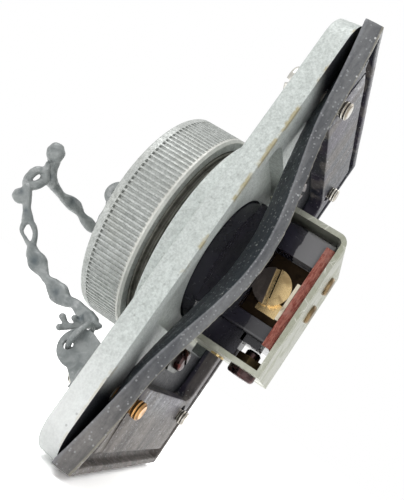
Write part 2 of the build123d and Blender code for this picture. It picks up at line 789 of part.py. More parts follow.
# ===== screw cap ========================================================================
knurl_length = cap_length - front_band - rear_band
with BuildPart() as screw_cap:
    with BuildSketch(front.offset(cap_rear)):
        Circle(cap_radius)
    extrude(amount=cap_length)
    fillet(screw_cap.faces().sort_by(Axis.Y)[0].edges(), cap_edge_round)
    chamfer(screw_cap.faces().sort_by(Axis.Y)[-1].edges(), cap_rear_chamfer)
    with BuildSketch(front.offset(cap_front)):
        Circle(cap_dish_radius)
    extrude(amount=-cap_dish_depth, mode=Mode.SUBTRACT)
    with BuildSketch(front.offset(cap_front - cap_dish_depth)):
        Circle(cap_pad_radius)
    extrude(amount=cap_dish_depth + cap_pad_rise, taper=cap_pad_draft)
    with BuildSketch(front.offset(cap_rear)):
        Circle(cap_bore_radius)
    extrude(amount=cap_inner_top - cap_rear, mode=Mode.SUBTRACT)
    with BuildSketch(front.offset(cap_rear)):
        Circle(stud_radius + pivot_gap)
    extrude(amount=cap_length + cap_pad_rise, mode=Mode.SUBTRACT)
    with BuildSketch(front.offset(cap_rear + rear_band)):
        with PolarLocations(cap_radius, rib_count):
            Circle(rib_groove_radius)
    extrude(amount=knurl_length, mode=Mode.SUBTRACT)
save(screw_cap.part, "screw_cap")

with BuildPart() as cap_seal:
    with BuildSketch(front.offset(collar_front)):
        Circle(cap_bore_radius - pocket_gap)
        Circle(cap_seal_hole_radius, mode=Mode.SUBTRACT)
    extrude(amount=cap_seal_thickness)
save(cap_seal.part, "cap_seal")

# ===== swivel eye and washer ============================================================
stud_rear = cap_inner_top - washer_thickness - stud_end
eye_middle = pad_front + eye_rise
eye_face = Plane(
    origin=(0, 0, 0), x_dir=(0, 1, 0), z_dir=(cos(radians(eye_turn)), 0, sin(radians(eye_turn)))
)
with BuildPart() as swivel_eye:
    with BuildSketch(front.offset(stud_rear)):
        Circle(stud_radius)
    extrude(amount=pad_front + slip_gap - stud_rear)
    with BuildSketch(front.offset(pad_front + slip_gap)):
        Circle(stud_collar_radius)
    extrude(amount=stud_collar_height)
    fillet(swivel_eye.edges().filter_by(GeomType.CIRCLE).sort_by(Axis.Y)[0], stud_collar_round)
    with BuildSketch(eye_face.offset(-eye_thickness / 2)):
        with Locations((-eye_middle, 0)):
            Circle(eye_radius)
        with Locations((-(pad_front + stud_collar_height), 0)):
            Rectangle(eye_root_depth, eye_root_width)
        make_hull()
        with Locations((-eye_middle, 0)):
            Circle(eye_hole_radius, mode=Mode.SUBTRACT)
    extrude(amount=eye_thickness)
save(swivel_eye.part, "swivel_eye")

with BuildPart() as stud_washer:
    with BuildSketch(front.offset(cap_inner_top - washer_thickness - pivot_gap)):
        Circle(washer_radius)
        Circle(stud_radius + seat_gap, mode=Mode.SUBTRACT)
    extrude(amount=washer_thickness)
save(stud_washer.part, "stud_washer")


# ===== chain ============================================================================
def wire_loop(start, end, normal):
    """A closed oblong loop of wire; start and end are the middles of the wire at its two ends."""
    half = loop_width / 2 - wire_radius
    along = Vector(*end) - Vector(*start)
    span = along.length
    flat = Plane(origin=tuple(start), x_dir=tuple(along), z_dir=tuple(normal))
    with BuildPart() as loop:
        with BuildLine(flat) as path:
            Line((half, -half), (span - half, -half))
            ThreePointArc((span - half, -half), (span, 0), (span - half, half))
            Line((span - half, half), (half, half))
            ThreePointArc((half, half), (0, 0), (half, -half))
        with BuildSketch(Plane(origin=path.line @ 0, z_dir=path.line % 0)):
            Circle(wire_radius)
        sweep(path=path.wires()[0])
    return loop.part


def square_to(direction, lean):
    """The part of lean that is square to the direction."""
    unit = direction.normalized()
    return (lean - unit * lean.dot(unit)).normalized()


def chain_link(start, direction, lean):
    """Two loops at right angles, joined where they cross at the waist."""
    start, direction = Vector(*start), Vector(*direction).normalized()
    waist = start + direction * (link_reach / 2)
    first_normal = square_to(direction, Vector(*lean))
    lap = direction * waist_lap
    with BuildPart() as link:
        add(wire_loop(start, waist + lap, first_normal))
        add(wire_loop(waist - lap, start + direction * link_reach, direction.cross(first_normal)))
    return link.part.solid()


save(Compound([chain_link(*link) for link in upper_chain]), "upper_chain_links")
save(Compound([chain_link(*link) for link in lower_chain[:-1]]), "lower_chain_links")

end_start, end_direction, end_lean = lower_chain[-1]
end_way = Vector(*end_direction).normalized()
end_side = square_to(end_way, Vector(*end_lean))
tail_root = Vector(*end_start) + end_way * tail_grip + end_side * (loop_width / 2 - wire_radius)
with BuildPart() as end_link:
    add(chain_link(*lower_chain[-1]))
    for direction in tail_directions:
        tail_face = Plane(origin=tail_root, z_dir=direction)
        with BuildSketch(tail_face):
            Circle(tail_radius)
        extrude(amount=tail_length)
        with Locations(tail_face.from_local_coords((0, 0, tail_length))):
            Sphere(tail_radius)
save(end_link.part, "chain_end_link")

lug_hole = lug_tab_face.from_local_coords((lug_lean, lug_hole_rise, -lug_thickness / 2))
ring_reach = (Vector(*end_start) + end_way * ring_grip - lug_hole).normalized()
ring_middle = lug_hole + ring_reach * (ring_radius - ring_offset)
ring_axis = square_to(ring_reach, ring_reach.cross(lug_tab_face.z_dir))
ring_plane = Plane(origin=ring_middle, x_dir=ring_reach, z_dir=ring_axis)
with BuildPart(ring_plane) as split_ring:
    Torus(ring_radius, wire_radius)
save(split_ring.part, "split_ring")
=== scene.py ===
import json
import math

import bmesh
import bpy
from mathutils import Matrix, Vector, noise


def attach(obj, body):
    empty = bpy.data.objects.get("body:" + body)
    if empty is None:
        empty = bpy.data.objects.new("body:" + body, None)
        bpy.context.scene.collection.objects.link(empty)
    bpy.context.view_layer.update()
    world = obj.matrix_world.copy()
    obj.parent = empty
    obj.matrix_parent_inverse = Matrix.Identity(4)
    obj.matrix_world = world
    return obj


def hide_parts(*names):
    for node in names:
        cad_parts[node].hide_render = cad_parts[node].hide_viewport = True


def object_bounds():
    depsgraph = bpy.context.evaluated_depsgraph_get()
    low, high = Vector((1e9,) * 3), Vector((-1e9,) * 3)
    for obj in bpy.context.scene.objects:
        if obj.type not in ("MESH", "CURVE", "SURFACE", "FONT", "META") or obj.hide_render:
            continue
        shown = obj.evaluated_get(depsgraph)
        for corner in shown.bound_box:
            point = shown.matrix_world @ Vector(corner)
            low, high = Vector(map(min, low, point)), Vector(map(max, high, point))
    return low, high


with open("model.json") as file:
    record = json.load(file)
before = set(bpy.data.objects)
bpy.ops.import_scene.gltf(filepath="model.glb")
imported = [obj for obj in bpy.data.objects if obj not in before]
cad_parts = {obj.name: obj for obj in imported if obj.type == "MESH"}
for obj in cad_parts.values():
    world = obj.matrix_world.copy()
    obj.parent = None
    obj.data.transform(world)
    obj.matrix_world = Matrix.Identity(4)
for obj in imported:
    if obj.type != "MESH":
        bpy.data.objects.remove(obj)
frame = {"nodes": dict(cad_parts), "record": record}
cad_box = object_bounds()
nodes = frame["nodes"]

MM = 0.001
VECTOR, FLOAT = "NodeSocketVector", "NodeSocketFloat"
MIX_FACTOR, MIX_A, MIX_B, MIX_RESULT = 0, 6, 7, 2   # the Mix node's sockets for colours
GRAIN_RANGE = (0.2, 0.8)                            # where nearly all of the cast grain lies
PLATED = (0.50, 0.49, 0.45)                         # plated steel ahead of a thread
SCREW_PITCH = 0.8 * MM


# --- node helpers -----------------------------------------------------------------------------
class Sheet:
    """Places nodes in a tree, left to right, and joins them."""
    spacing = 190

    def __init__(self, tree):
        self.tree = tree
        self.column = 0

    def add(self, kind, **values):
        node = self.tree.nodes.new(kind)
        node.location = (self.column * self.spacing, 0)
        self.column += 1
        for key, value in values.items():
            setattr(node, key, value)
        return node

    def link(self, source, target):
        self.tree.links.new(source, target)

    def feed(self, socket, value):
        if isinstance(value, bpy.types.NodeSocket):
            self.link(value, socket)
        elif value is not None:
            socket.default_value = value

    def noise(self, vector, scale, detail=3.0, roughness=0.55, distortion=0.0):
        node = self.add("ShaderNodeTexNoise")
        self.feed(node.inputs["Vector"], vector)
        self.feed(node.inputs["Scale"], scale)
        node.inputs["Detail"].default_value = detail
        node.inputs["Roughness"].default_value = roughness
        node.inputs["Distortion"].default_value = distortion
        return node.outputs["Fac"]

    def cells(self, vector, scale, feature="F1"):
        """Cells round scattered points; returns all the outputs."""
        node = self.add("ShaderNodeTexVoronoi", feature=feature)
        self.feed(node.inputs["Vector"], vector)
        self.feed(node.inputs["Scale"], scale)
        return node.outputs

    def math(self, operation, a, b=None):
        node = self.add("ShaderNodeMath", operation=operation)
        self.feed(node.inputs[0], a)
        self.feed(node.inputs[1], b)
        return node.outputs[0]

    def span(self, value, low, high, to_low=0.0, to_high=1.0, smooth=True):
        """Takes low..high to to_low..to_high; low may be the larger one."""
        kind = "SMOOTHSTEP" if smooth else "LINEAR"
        node = self.add("ShaderNodeMapRange", interpolation_type=kind)
        self.feed(node.inputs["Value"], value)
        self.feed(node.inputs["From Min"], low)
        self.feed(node.inputs["From Max"], high)
        self.feed(node.inputs["To Min"], to_low)
        self.feed(node.inputs["To Max"], to_high)
        return node.outputs["Result"]

    def mix(self, factor, a, b):
        node = self.add("ShaderNodeMix", data_type="RGBA")
        self.feed(node.inputs[MIX_FACTOR], factor)
        self.feed(node.inputs[MIX_A], colour(a))
        self.feed(node.inputs[MIX_B], colour(b))
        return node.outputs[MIX_RESULT]

    def stain(self, base, mask, amount, tone):
        """The base with a tone laid over it where the mask shows, by no more than the amount."""
        return self.mix(self.math("MULTIPLY", mask, amount), base, tone)

    def scale(self, vector, factors):
        node = self.add("ShaderNodeVectorMath", operation="MULTIPLY")
        self.feed(node.inputs[0], vector)
        node.inputs[1].default_value = factors
        return node.outputs[0]


def colour(value):
    """Three numbers become a solid colour; anything else stays as it is."""
    if isinstance(value, tuple) and len(value) == 3:
        return (*value, 1.0)
    return value


def new_group(name, inputs, outputs):
    """A shader group with named sockets; returns its tree, its sheet and its two ends."""
    tree = bpy.data.node_groups.new(name, "ShaderNodeTree")
    for label, kind, default in inputs:
        socket = tree.interface.new_socket(name=label, in_out="INPUT", socket_type=kind)
        if default is not None:
            socket.default_value = default
    for label, kind in outputs:
        tree.interface.new_socket(name=label, in_out="OUTPUT", socket_type=kind)
    sheet = Sheet(tree)
    start = sheet.add("NodeGroupInput")
    end = sheet.add("NodeGroupOutput")
    return tree, sheet, start.outputs, end.inputs


def place_group(sheet, tree, **values):
    """Puts a group in a sheet, fed by the names of its sockets; returns its outputs."""
    node = sheet.add("ShaderNodeGroup", node_tree=tree)
    for label, value in values.items():
        sheet.feed(node.inputs[label], value)
    return node.outputs


# --- shared effects ---------------------------------------------------------------------------
cast_grain, sheet, given, made = new_group(
    "Cast Grain",
    [("Vector", VECTOR, None), ("Scale", FLOAT, 1500.0), ("Contrast", FLOAT, 1.0)],
    [("Grain", FLOAT), ("Height", FLOAT)],
)
fine = sheet.noise(given["Vector"], given["Scale"], 4.0, 0.7)
coarse = sheet.noise(given["Vector"], sheet.math("MULTIPLY", given["Scale"], 0.3), 2.0, 0.5)
both = sheet.math("ADD", sheet.math("MULTIPLY", fine, 0.7), sheet.math("MULTIPLY", coarse, 0.3))
centred = sheet.math("MULTIPLY", sheet.math("SUBTRACT", both, 0.5), given["Contrast"])
sheet.link(sheet.math("ADD", centred, 0.5), made["Grain"])
sheet.link(sheet.math("ADD", fine, coarse), made["Height"])

dust_specks, sheet, given, made = new_group(
    "Dust Specks",
    [("Vector", VECTOR, None), ("Scale", FLOAT, 900.0), ("Size", FLOAT, 0.12),
     ("Share", FLOAT, 0.3)],
    [("Mask", FLOAT)],
)
cells = sheet.cells(given["Vector"], given["Scale"])
chance = sheet.add("ShaderNodeSeparateColor")
sheet.link(cells["Color"], chance.inputs["Color"])
core = sheet.math("MULTIPLY", given["Size"], 0.5)
dot = sheet.span(cells["Distance"], core, given["Size"], 1.0, 0.0)
kept = sheet.math("LESS_THAN", chance.outputs["Red"], given["Share"])
sheet.link(sheet.math("MULTIPLY", dot, kept), made["Mask"])

grime, sheet, given, made = new_group(
    "Grime",
    [("Vector", VECTOR, None), ("Scale", FLOAT, 90.0), ("Level", FLOAT, 0.5),
     ("Softness", FLOAT, 0.12)],
    [("Mask", FLOAT)],
)
cloud = sheet.noise(given["Vector"], given["Scale"], 5.0, 0.62, 0.6)
low = sheet.math("SUBTRACT", given["Level"], given["Softness"])
high = sheet.math("ADD", given["Level"], given["Softness"])
sheet.link(sheet.span(cloud, low, high), made["Mask"])

hair_scratches, sheet, given, made = new_group(
    "Hair Scratches",
    [("Vector", VECTOR, None), ("Scale", FLOAT, 260.0), ("Width", FLOAT, 0.03)],
    [("Mask", FLOAT)],
)
wobble = sheet.add("ShaderNodeTexNoise")
sheet.link(given["Vector"], wobble.inputs["Vector"])
wobble.inputs["Scale"].default_value = 60.0
shift = sheet.add("ShaderNodeVectorMath", operation="SCALE")
sheet.link(wobble.outputs["Color"], shift.inputs[0])
shift.inputs["Scale"].default_value = 4.0 * MM
warped = sheet.add("ShaderNodeVectorMath", operation="ADD")
sheet.link(given["Vector"], warped.inputs[0])
sheet.link(shift.outputs[0], warped.inputs[1])
edge = sheet.cells(warped.outputs[0], given["Scale"], "DISTANCE_TO_EDGE")["Distance"]
line = sheet.span(edge, 0.0, given["Width"], 1.0, 0.0)
broken = sheet.span(sheet.noise(given["Vector"], 220.0, 2.0), 0.52, 0.60)
sheet.link(sheet.math("MULTIPLY", line, broken), made["Mask"])


def mask_of(sheet, tree, place, **values):
    """The mask of an effect over a piece's own coordinates."""
    return place_group(sheet, tree, Vector=place, **values)["Mask"]


# --- materials --------------------------------------------------------------------------------
def new_material(name):
    """A Principled material; returns it with its sheet, shader and the piece's own coordinates."""
    material = bpy.data.materials.new(name)
    material.use_nodes = True
    material.node_tree.nodes.clear()
    sheet = Sheet(material.node_tree)
    place = sheet.add("ShaderNodeTexCoord").outputs["Object"]
    shader = material.node_tree.nodes.new("ShaderNodeBsdfPrincipled")
    shader.location = (2600, 0)
    output = material.node_tree.nodes.new("ShaderNodeOutputMaterial")
    output.location = (2900, 0)
    sheet.link(shader.outputs[0], output.inputs["Surface"])
    return material, sheet, shader, place


def bump(sheet, shader, height, strength, distance):
    node = sheet.add("ShaderNodeBump")
    node.inputs["Strength"].default_value = strength
    node.inputs["Distance"].default_value = distance
    sheet.link(height, node.inputs["Height"])
    sheet.link(node.outputs["Normal"], shader.inputs["Normal"])


def surface(sheet, shader, base, roughness, metallic=0.0):
    """Gives the shader its colour, its roughness and how metallic it is."""
    sheet.link(base, shader.inputs["Base Color"])
    sheet.feed(shader.inputs["Roughness"], roughness)
    shader.inputs["Metallic"].default_value = metallic


def named_value(sheet, name, output):
    """A value that a piece's mesh carries under this name."""
    return sheet.add("ShaderNodeAttribute", attribute_name=name).outputs[output]


def split(sheet, vector):
    node = sheet.add("ShaderNodeSeparateXYZ")
    sheet.link(vector, node.inputs[0])
    return node.outputs


def cast_paint():
    """Aged light grey paint on sand-cast metal, with fine grain, dark pits, yellow stains, and
    painted light and shade on its back.
    """
    material, sheet, shader, place = new_material("cast_paint")
    grain = place_group(sheet, cast_grain, Vector=place, Scale=1900.0, Contrast=3.4)
    base = sheet.mix(grain["Grain"], (0.42, 0.455, 0.435), (0.70, 0.745, 0.72))
    cloud = mask_of(sheet, grime, place, Scale=70.0, Level=0.55, Softness=0.2)
    base = sheet.stain(base, cloud, 0.25, (0.45, 0.47, 0.45))
    axes = split(sheet, place)
    # stains in patches round the rim, where the side meets the back face
    ragged = sheet.math("MULTIPLY", sheet.noise(place, 420.0, 4.0, 0.7), 1.6 * MM)
    from_back = sheet.math("ADD", axes[1], sheet.math("SUBTRACT", ragged, 0.8 * MM))
    near_back = sheet.span(from_back, -0.75 * MM, -0.25 * MM)
    outside = sheet.span(sheet.math("ABSOLUTE", axes[0]), 34.3 * MM, 35.0 * MM)
    patches = sheet.span(sheet.noise(place, 130.0, 3.0), 0.48, 0.58)
    stain = sheet.math("MULTIPLY", sheet.math("MULTIPLY", near_back, outside), patches)
    base = sheet.stain(base, stain, 0.75, (0.36, 0.29, 0.12))
    # painted shade on the back face: nearly black inside the gasket beyond the body and towards the
    # ends
    from_middle = sheet.math("ABSOLUTE", axes[2])
    beyond_body = sheet.span(from_middle, 23.0 * MM, 24.0 * MM)
    far_side = sheet.math("MULTIPLY", sheet.span(axes[0], 15.0 * MM, 9.0 * MM), beyond_body)
    shut_in = sheet.math("MAXIMUM", far_side, sheet.span(from_middle, 33.0 * MM, 42.0 * MM))
    back_face_shade = sheet.math("MULTIPLY", shut_in, sheet.span(axes[1], -0.06 * MM, -0.02 * MM))
    # painted light: the paint grows paler towards the low end
    low_end = sheet.span(axes[2], -22.0 * MM, -50.0 * MM, 0.0, 0.65)
    base = sheet.mix(low_end, base, (0.90, 0.91, 0.90))
    # the painted shade laid over it
    base = sheet.mix(back_face_shade, base, (0.012, 0.013, 0.016))
    pits = mask_of(sheet, dust_specks, place, Scale=620.0, Size=0.20, Share=0.10)
    base = sheet.stain(base, pits, 0.35, (0.16, 0.16, 0.15))
    yellow = mask_of(sheet, dust_specks, place, Scale=170.0, Size=0.12, Share=0.07)
    base = sheet.stain(base, yellow, 0.5, (0.58, 0.50, 0.25))
    surface(sheet, shader, base, sheet.span(grain["Grain"], *GRAIN_RANGE, 0.62, 0.42), 0.1)
    bump(sheet, shader, grain["Height"], 0.35, 0.12 * MM)
    return material


def cap_metal():
    """Dull silver of the knurled cap, with painted shade in the grooves."""
    material, sheet, shader, place = new_material("cap_metal")
    grain = place_group(sheet, cast_grain, Vector=place, Scale=2000.0, Contrast=3.0)
    base = sheet.mix(grain["Grain"], (0.30, 0.315, 0.30), (0.62, 0.64, 0.62))
    axes = split(sheet, place)
    squares = [sheet.math("MULTIPLY", axis, axis) for axis in (axes[0], axes[2])]
    radius = sheet.math("SQRT", sheet.math("ADD", *squares))
    # painted shade in the grooves of the knurl, darkest where they end at the front
    sunk = sheet.span(radius, 28.75 * MM, 29.15 * MM, 1.0, 0.0)
    behind_front = sheet.span(axes[1], -24.5 * MM, -24.4 * MM)
    before_rear = sheet.span(axes[1], -15.5 * MM, -15.4 * MM, 1.0, 0.0)
    in_knurl = sheet.math("MULTIPLY", behind_front, before_rear)
    groove_shade = sheet.math("MULTIPLY", sunk, in_knurl)
    base = sheet.stain(base, groove_shade, 0.30, (0.20, 0.21, 0.20))
    groove_end_shade = sheet.math("MULTIPLY", groove_shade, sheet.span(axes[1], -23.9 * MM, -24.3 * MM))
    base = sheet.stain(base, groove_end_shade, 0.85, (0.05, 0.055, 0.05))
    # the plain band behind the knurl, paler
    behind_knurl = sheet.span(axes[1], -15.9 * MM, -15.5 * MM)
    band = sheet.math("MULTIPLY", behind_knurl, sheet.span(radius, 28.2 * MM, 28.6 * MM))
    base = sheet.stain(base, band, 0.6, (0.74, 0.73, 0.68))
    cloud = mask_of(sheet, grime, place, Scale=110.0, Level=0.56, Softness=0.12)
    base = sheet.stain(base, cloud, 0.22, (0.36, 0.36, 0.32))
    surface(sheet, shader, base, sheet.span(grain["Grain"], *GRAIN_RANGE, 0.58, 0.44), 0.3)
    bump(sheet, shader, grain["Height"], 0.12, 0.08 * MM)
    return material


def chain_paint():
    """Blue-grey paint laid on thick, darker in clouds where it pooled, with painted shade in the
    hollows between links.
    """
    material, sheet, shader, place = new_material("chain_paint")
    grain = place_group(sheet, cast_grain, Vector=place, Scale=900.0, Contrast=1.3)
    base = sheet.mix(grain["Grain"], (0.19, 0.205, 0.205), (0.34, 0.36, 0.355))
    darkened = mask_of(sheet, grime, place, Scale=210.0, Level=0.55, Softness=0.10)
    base = sheet.stain(base, darkened, 0.6, (0.10, 0.118, 0.12))
    pale = mask_of(sheet, grime, place, Scale=330.0, Level=0.62, Softness=0.06)
    base = sheet.stain(base, pale, 0.5, (0.46, 0.47, 0.475))
    # painted shade in the marked hollows between links
    hollow_shade = named_value(sheet, "darkened", "Fac")
    base = sheet.stain(base, hollow_shade, 0.85, (0.055, 0.075, 0.085))
    surface(sheet, shader, base, sheet.span(grain["Grain"], *GRAIN_RANGE, 0.55, 0.38), 0.2)
    bump(sheet, shader, grain["Height"], 0.3, 0.15 * MM)
    return material


def rubber():
    """Old black rubber with a pale grey bloom in patches and specks of dust."""
    material, sheet, shader, place = new_material("rubber")
    grain = place_group(sheet, cast_grain, Vector=place, Scale=1700.0, Contrast=1.4)
    base = sheet.mix(grain["Grain"], (0.012, 0.013, 0.017), (0.045, 0.045, 0.052))
    bloom = mask_of(sheet, grime, place, Scale=75.0, Level=0.50, Softness=0.16)
    base = sheet.stain(base, bloom, 0.7, (0.13, 0.125, 0.12))
    specks = mask_of(sheet, dust_specks, place, Scale=700.0, Size=0.16, Share=0.22)
    base = sheet.stain(base, specks, 0.55, (0.50, 0.50, 0.48))
    big = mask_of(sheet, dust_specks, place, Scale=240.0, Size=0.09, Share=0.16)
    base = sheet.stain(base, big, 0.8, (0.66, 0.66, 0.62))
    surface(sheet, shader, base, sheet.span(bloom, 0.0, 1.0, 0.42, 0.68))
    bump(sheet, shader, grain["Height"], 0.3, 0.1 * MM)
    return material


def gasket_rubber():
    """Black rubber gone grey, in bands of dark, a painted pale highlight, slate and beige from
    front to rear.

    Across, back and along are the places of the gasket's points before the roll, in mm.
    """
    material, sheet, shader, place = new_material("gasket_rubber")
    across, back, along = split(sheet, named_value(sheet, "unrolled", "Vector"))
    grain = place_group(sheet, cast_grain, Vector=place, Scale=1500.0, Contrast=1.6)
    smear = sheet.noise(sheet.scale(place, (1.0, 1.0, 0.2)), 260.0, 4.0, 0.6)
    waver = sheet.math("MULTIPLY", sheet.math("SUBTRACT", sheet.noise(place, 90.0, 3.0), 0.5), 0.9)
    depth = sheet.math("ADD", back, waver)
    # the outer side, slate in the middle and browner towards the low end
    smeared = sheet.span(smear, 0.32, 0.68)
    slate = sheet.mix(smeared, (0.070, 0.074, 0.082), (0.21, 0.215, 0.22))
    brown = sheet.mix(smeared, (0.10, 0.09, 0.08), (0.26, 0.235, 0.215))
    wavering = sheet.math("ADD", along, sheet.math("MULTIPLY", waver, 9.0))
    low_end = sheet.span(wavering, -28.0, -52.0)
    base = sheet.stain(slate, low_end, 0.55, brown)
    # the tray inside the rim, glossy between streaks of dust
    facing = sheet.span(across, 34.6, 35.3)
    inward = sheet.math("SUBTRACT", 1.0, facing)
    streak = sheet.noise(sheet.scale(place, (1.0, 1.0, 0.07)), 170.0, 3.0, 0.5)
    clean = sheet.mix(sheet.span(sheet.noise(place, 60.0, 2.0), 0.42, 0.6),
                      (0.010, 0.014, 0.022), (0.026, 0.018, 0.040))
    dusty = sheet.mix(sheet.span(smear, 0.3, 0.7), (0.11, 0.098, 0.092), (0.24, 0.215, 0.195))
    dust = sheet.math("MAXIMUM", sheet.span(streak, 0.49, 0.60, 0.0, 0.75),
                      sheet.span(along, -38.0, -45.0))
    base = sheet.mix(inward, base, sheet.mix(dust, clean, dusty))
    # the front edge, dark, and a painted highlight along the corner beside it
    front = sheet.math("MULTIPLY", sheet.span(depth, 1.0, 0.1), sheet.span(across, 35.6, 35.0))
    front_tone = sheet.mix(sheet.span(smear, 0.4, 0.7),
                           (0.012, 0.019, 0.028), (0.040, 0.050, 0.058))
    base = sheet.mix(front, base, front_tone)
    corner = sheet.math("MULTIPLY", sheet.span(depth, 1.5, 0.5), sheet.span(across, 34.9, 35.5))
    corner_highlight = sheet.math("MULTIPLY", corner, sheet.span(depth, -0.6, 0.2))
    base = sheet.stain(base, corner_highlight, 0.45, (0.33, 0.34, 0.36))
    rear = sheet.math("MULTIPLY", sheet.span(depth, 5.2, 5.6), facing)
    base = sheet.stain(base, rear, 0.8, (0.33, 0.31, 0.25))
    # grain, specks and crumbs all over
    dark_grain = sheet.span(grain["Grain"], 0.1, 0.9, 0.0, 0.35)
    base = sheet.mix(dark_grain, base, (0.02, 0.02, 0.025))
    specks = mask_of(sheet, dust_specks, place, Scale=1500.0, Size=0.42, Share=0.30)
    base = sheet.stain(base, specks, 0.50, (0.42, 0.43, 0.44))
    crumbs = mask_of(sheet, dust_specks, place, Scale=520.0, Size=0.17, Share=0.10)
    base = sheet.stain(base, crumbs, 0.85, (0.72, 0.73, 0.72))
    gloss = sheet.math("MULTIPLY", inward, sheet.math("SUBTRACT", 1.0, dust))
    rough = sheet.span(grain["Grain"], *GRAIN_RANGE, 0.45, 0.70)
    rough = sheet.math("SUBTRACT", rough, sheet.math("MULTIPLY", gloss, 0.2))
    surface(sheet, shader, base, rough)
    height = sheet.math("ADD", grain["Height"], sheet.math("MULTIPLY", crumbs, 0.8))
    bump(sheet, shader, height, 0.3, 0.12 * MM)
    return material


def phenolic():
    """Moulded black phenolic with a bluish gloss, a little dust and a grey film that is partly
    painted sheen.
    """
    material, sheet, shader, place = new_material("phenolic")
    cloud = mask_of(sheet, grime, place, Scale=60.0, Level=0.52, Softness=0.2)
    base = sheet.mix(cloud, (0.006, 0.006, 0.009), (0.020, 0.018, 0.030))
    # a grey dust film on the block's rear part with painted sheen, strongest up top and thinner
    # downwards; the foot has none
    axes = split(sheet, place)
    centred = sheet.math("SUBTRACT", sheet.noise(place, 500.0, 3.0), 0.5)
    ragged = sheet.math("MULTIPLY", centred, 1.2 * MM)
    edge = sheet.span(sheet.math("ADD", axes[1], ragged), 12.5 * MM, 12.8 * MM)
    dust_film_and_sheen = sheet.math("MULTIPLY", edge, sheet.span(axes[2], -2.0 * MM, 3.0 * MM, 0.22, 0.95))
    dust_film_and_sheen = sheet.math("MULTIPLY", dust_film_and_sheen, sheet.span(axes[2], -13.4 * MM, -13.2 * MM))
    base = sheet.mix(dust_film_and_sheen, base, (0.235, 0.232, 0.24))
    specks = mask_of(sheet, dust_specks, place, Scale=620.0, Size=0.11, Share=0.12)
    base = sheet.stain(base, specks, 0.6, (0.35, 0.35, 0.36))
    grain = place_group(sheet, cast_grain, Vector=place, Scale=700.0, Contrast=1.0)
    rough = sheet.span(grain["Grain"], *GRAIN_RANGE, 0.20, 0.30)
    rough = sheet.math("ADD", rough, sheet.math("MULTIPLY", specks, 0.3))
    surface(sheet, shader, base, rough)
    bump(sheet, shader, grain["Height"], 0.06, 0.1 * MM)
    return material


def zinc():
    """Zinc-plated strap gone dull and cream-green, with painted shade that makes its ears nearly
    black.
    """
    material, sheet, shader, place = new_material("zinc")
    grain = place_group(sheet, cast_grain, Vector=place, Scale=800.0, Contrast=1.2)
    base = sheet.mix(grain["Grain"], (0.30, 0.305, 0.25), (0.50, 0.51, 0.43))
    cloud = mask_of(sheet, grime, place, Scale=120.0, Level=0.54, Softness=0.10)
    base = sheet.stain(base, cloud, 0.45, (0.22, 0.23, 0.15))
    scratch = mask_of(sheet, hair_scratches, place, Scale=240.0, Width=0.03)
    base = sheet.stain(base, scratch, 0.5, (0.80, 0.80, 0.74))
    # painted shade: the ears, beyond the middle, darkened nearly black
    from_middle = sheet.math("ABSOLUTE", split(sheet, place)[2])
    ear_shade = sheet.span(from_middle, 22.0 * MM, 23.0 * MM, 0.0, 0.85)
    base = sheet.mix(ear_shade, base, (0.03, 0.03, 0.032))
    surface(sheet, shader, base, sheet.span(cloud, 0.0, 1.0, 0.34, 0.50), 0.7)
    bump(sheet, shader, grain["Height"], 0.12, 0.08 * MM)
    return material


def bright_metal(name, dark, light, tarnish, roughness, metallic=1.0, thread_from=None):
    """Turned or stamped metal with patches of tarnish and fine scratches.

    With thread_from, it is plated ahead of that depth and threaded behind it.
    """
    material, sheet, shader, place = new_material(name)
    grain = place_group(sheet, cast_grain, Vector=place, Scale=1100.0, Contrast=0.6)
    base = sheet.mix(grain["Grain"], dark, light)
    cloud = mask_of(sheet, grime, place, Scale=230.0, Level=0.55, Softness=0.10)
    base = sheet.stain(base, cloud, 0.6, tarnish)
    scratch = mask_of(sheet, hair_scratches, place, Scale=420.0, Width=0.04)
    base = sheet.stain(base, scratch, 0.5, light)
    if thread_from is None:
        bump(sheet, shader, grain["Height"], 0.02, 0.06 * MM)
    else:
        back = split(sheet, place)[1]
        threaded = sheet.span(back, thread_from, thread_from + 0.3 * MM)
        turns = sheet.math("SINE", sheet.math("MULTIPLY", back, 2 * math.pi / SCREW_PITCH))
        turns = sheet.math("MULTIPLY", turns, threaded)
        base = sheet.mix(threaded, PLATED, base)
        base = sheet.mix(sheet.span(turns, -0.2, -0.9, 0.0, 0.65), base, tarnish)
        bump(sheet, shader, turns, 0.8, 0.25 * MM)
    rough = sheet.span(cloud, 0.0, 1.0, roughness, roughness + 0.16)
    surface(sheet, shader, base, rough, metallic)
    return material


def fibre():
    """Brick-red pressed fibre, matt, with a frayed paler grain."""
    material, sheet, shader, place = new_material("fibre")
    strands = sheet.noise(sheet.scale(place, (1.0, 1.0, 0.25)), 2600.0, 5.0, 0.75)
    base = sheet.mix(sheet.span(strands, 0.35, 0.68), (0.27, 0.055, 0.04), (0.62, 0.24, 0.18))
    patches = mask_of(sheet, grime, place, Scale=260.0, Level=0.58, Softness=0.08)
    base = sheet.stain(base, patches, 0.5, (0.58, 0.30, 0.25))
    surface(sheet, shader, base, 0.85)
    bump(sheet, shader, strands, 0.5, 0.12 * MM)
    return material


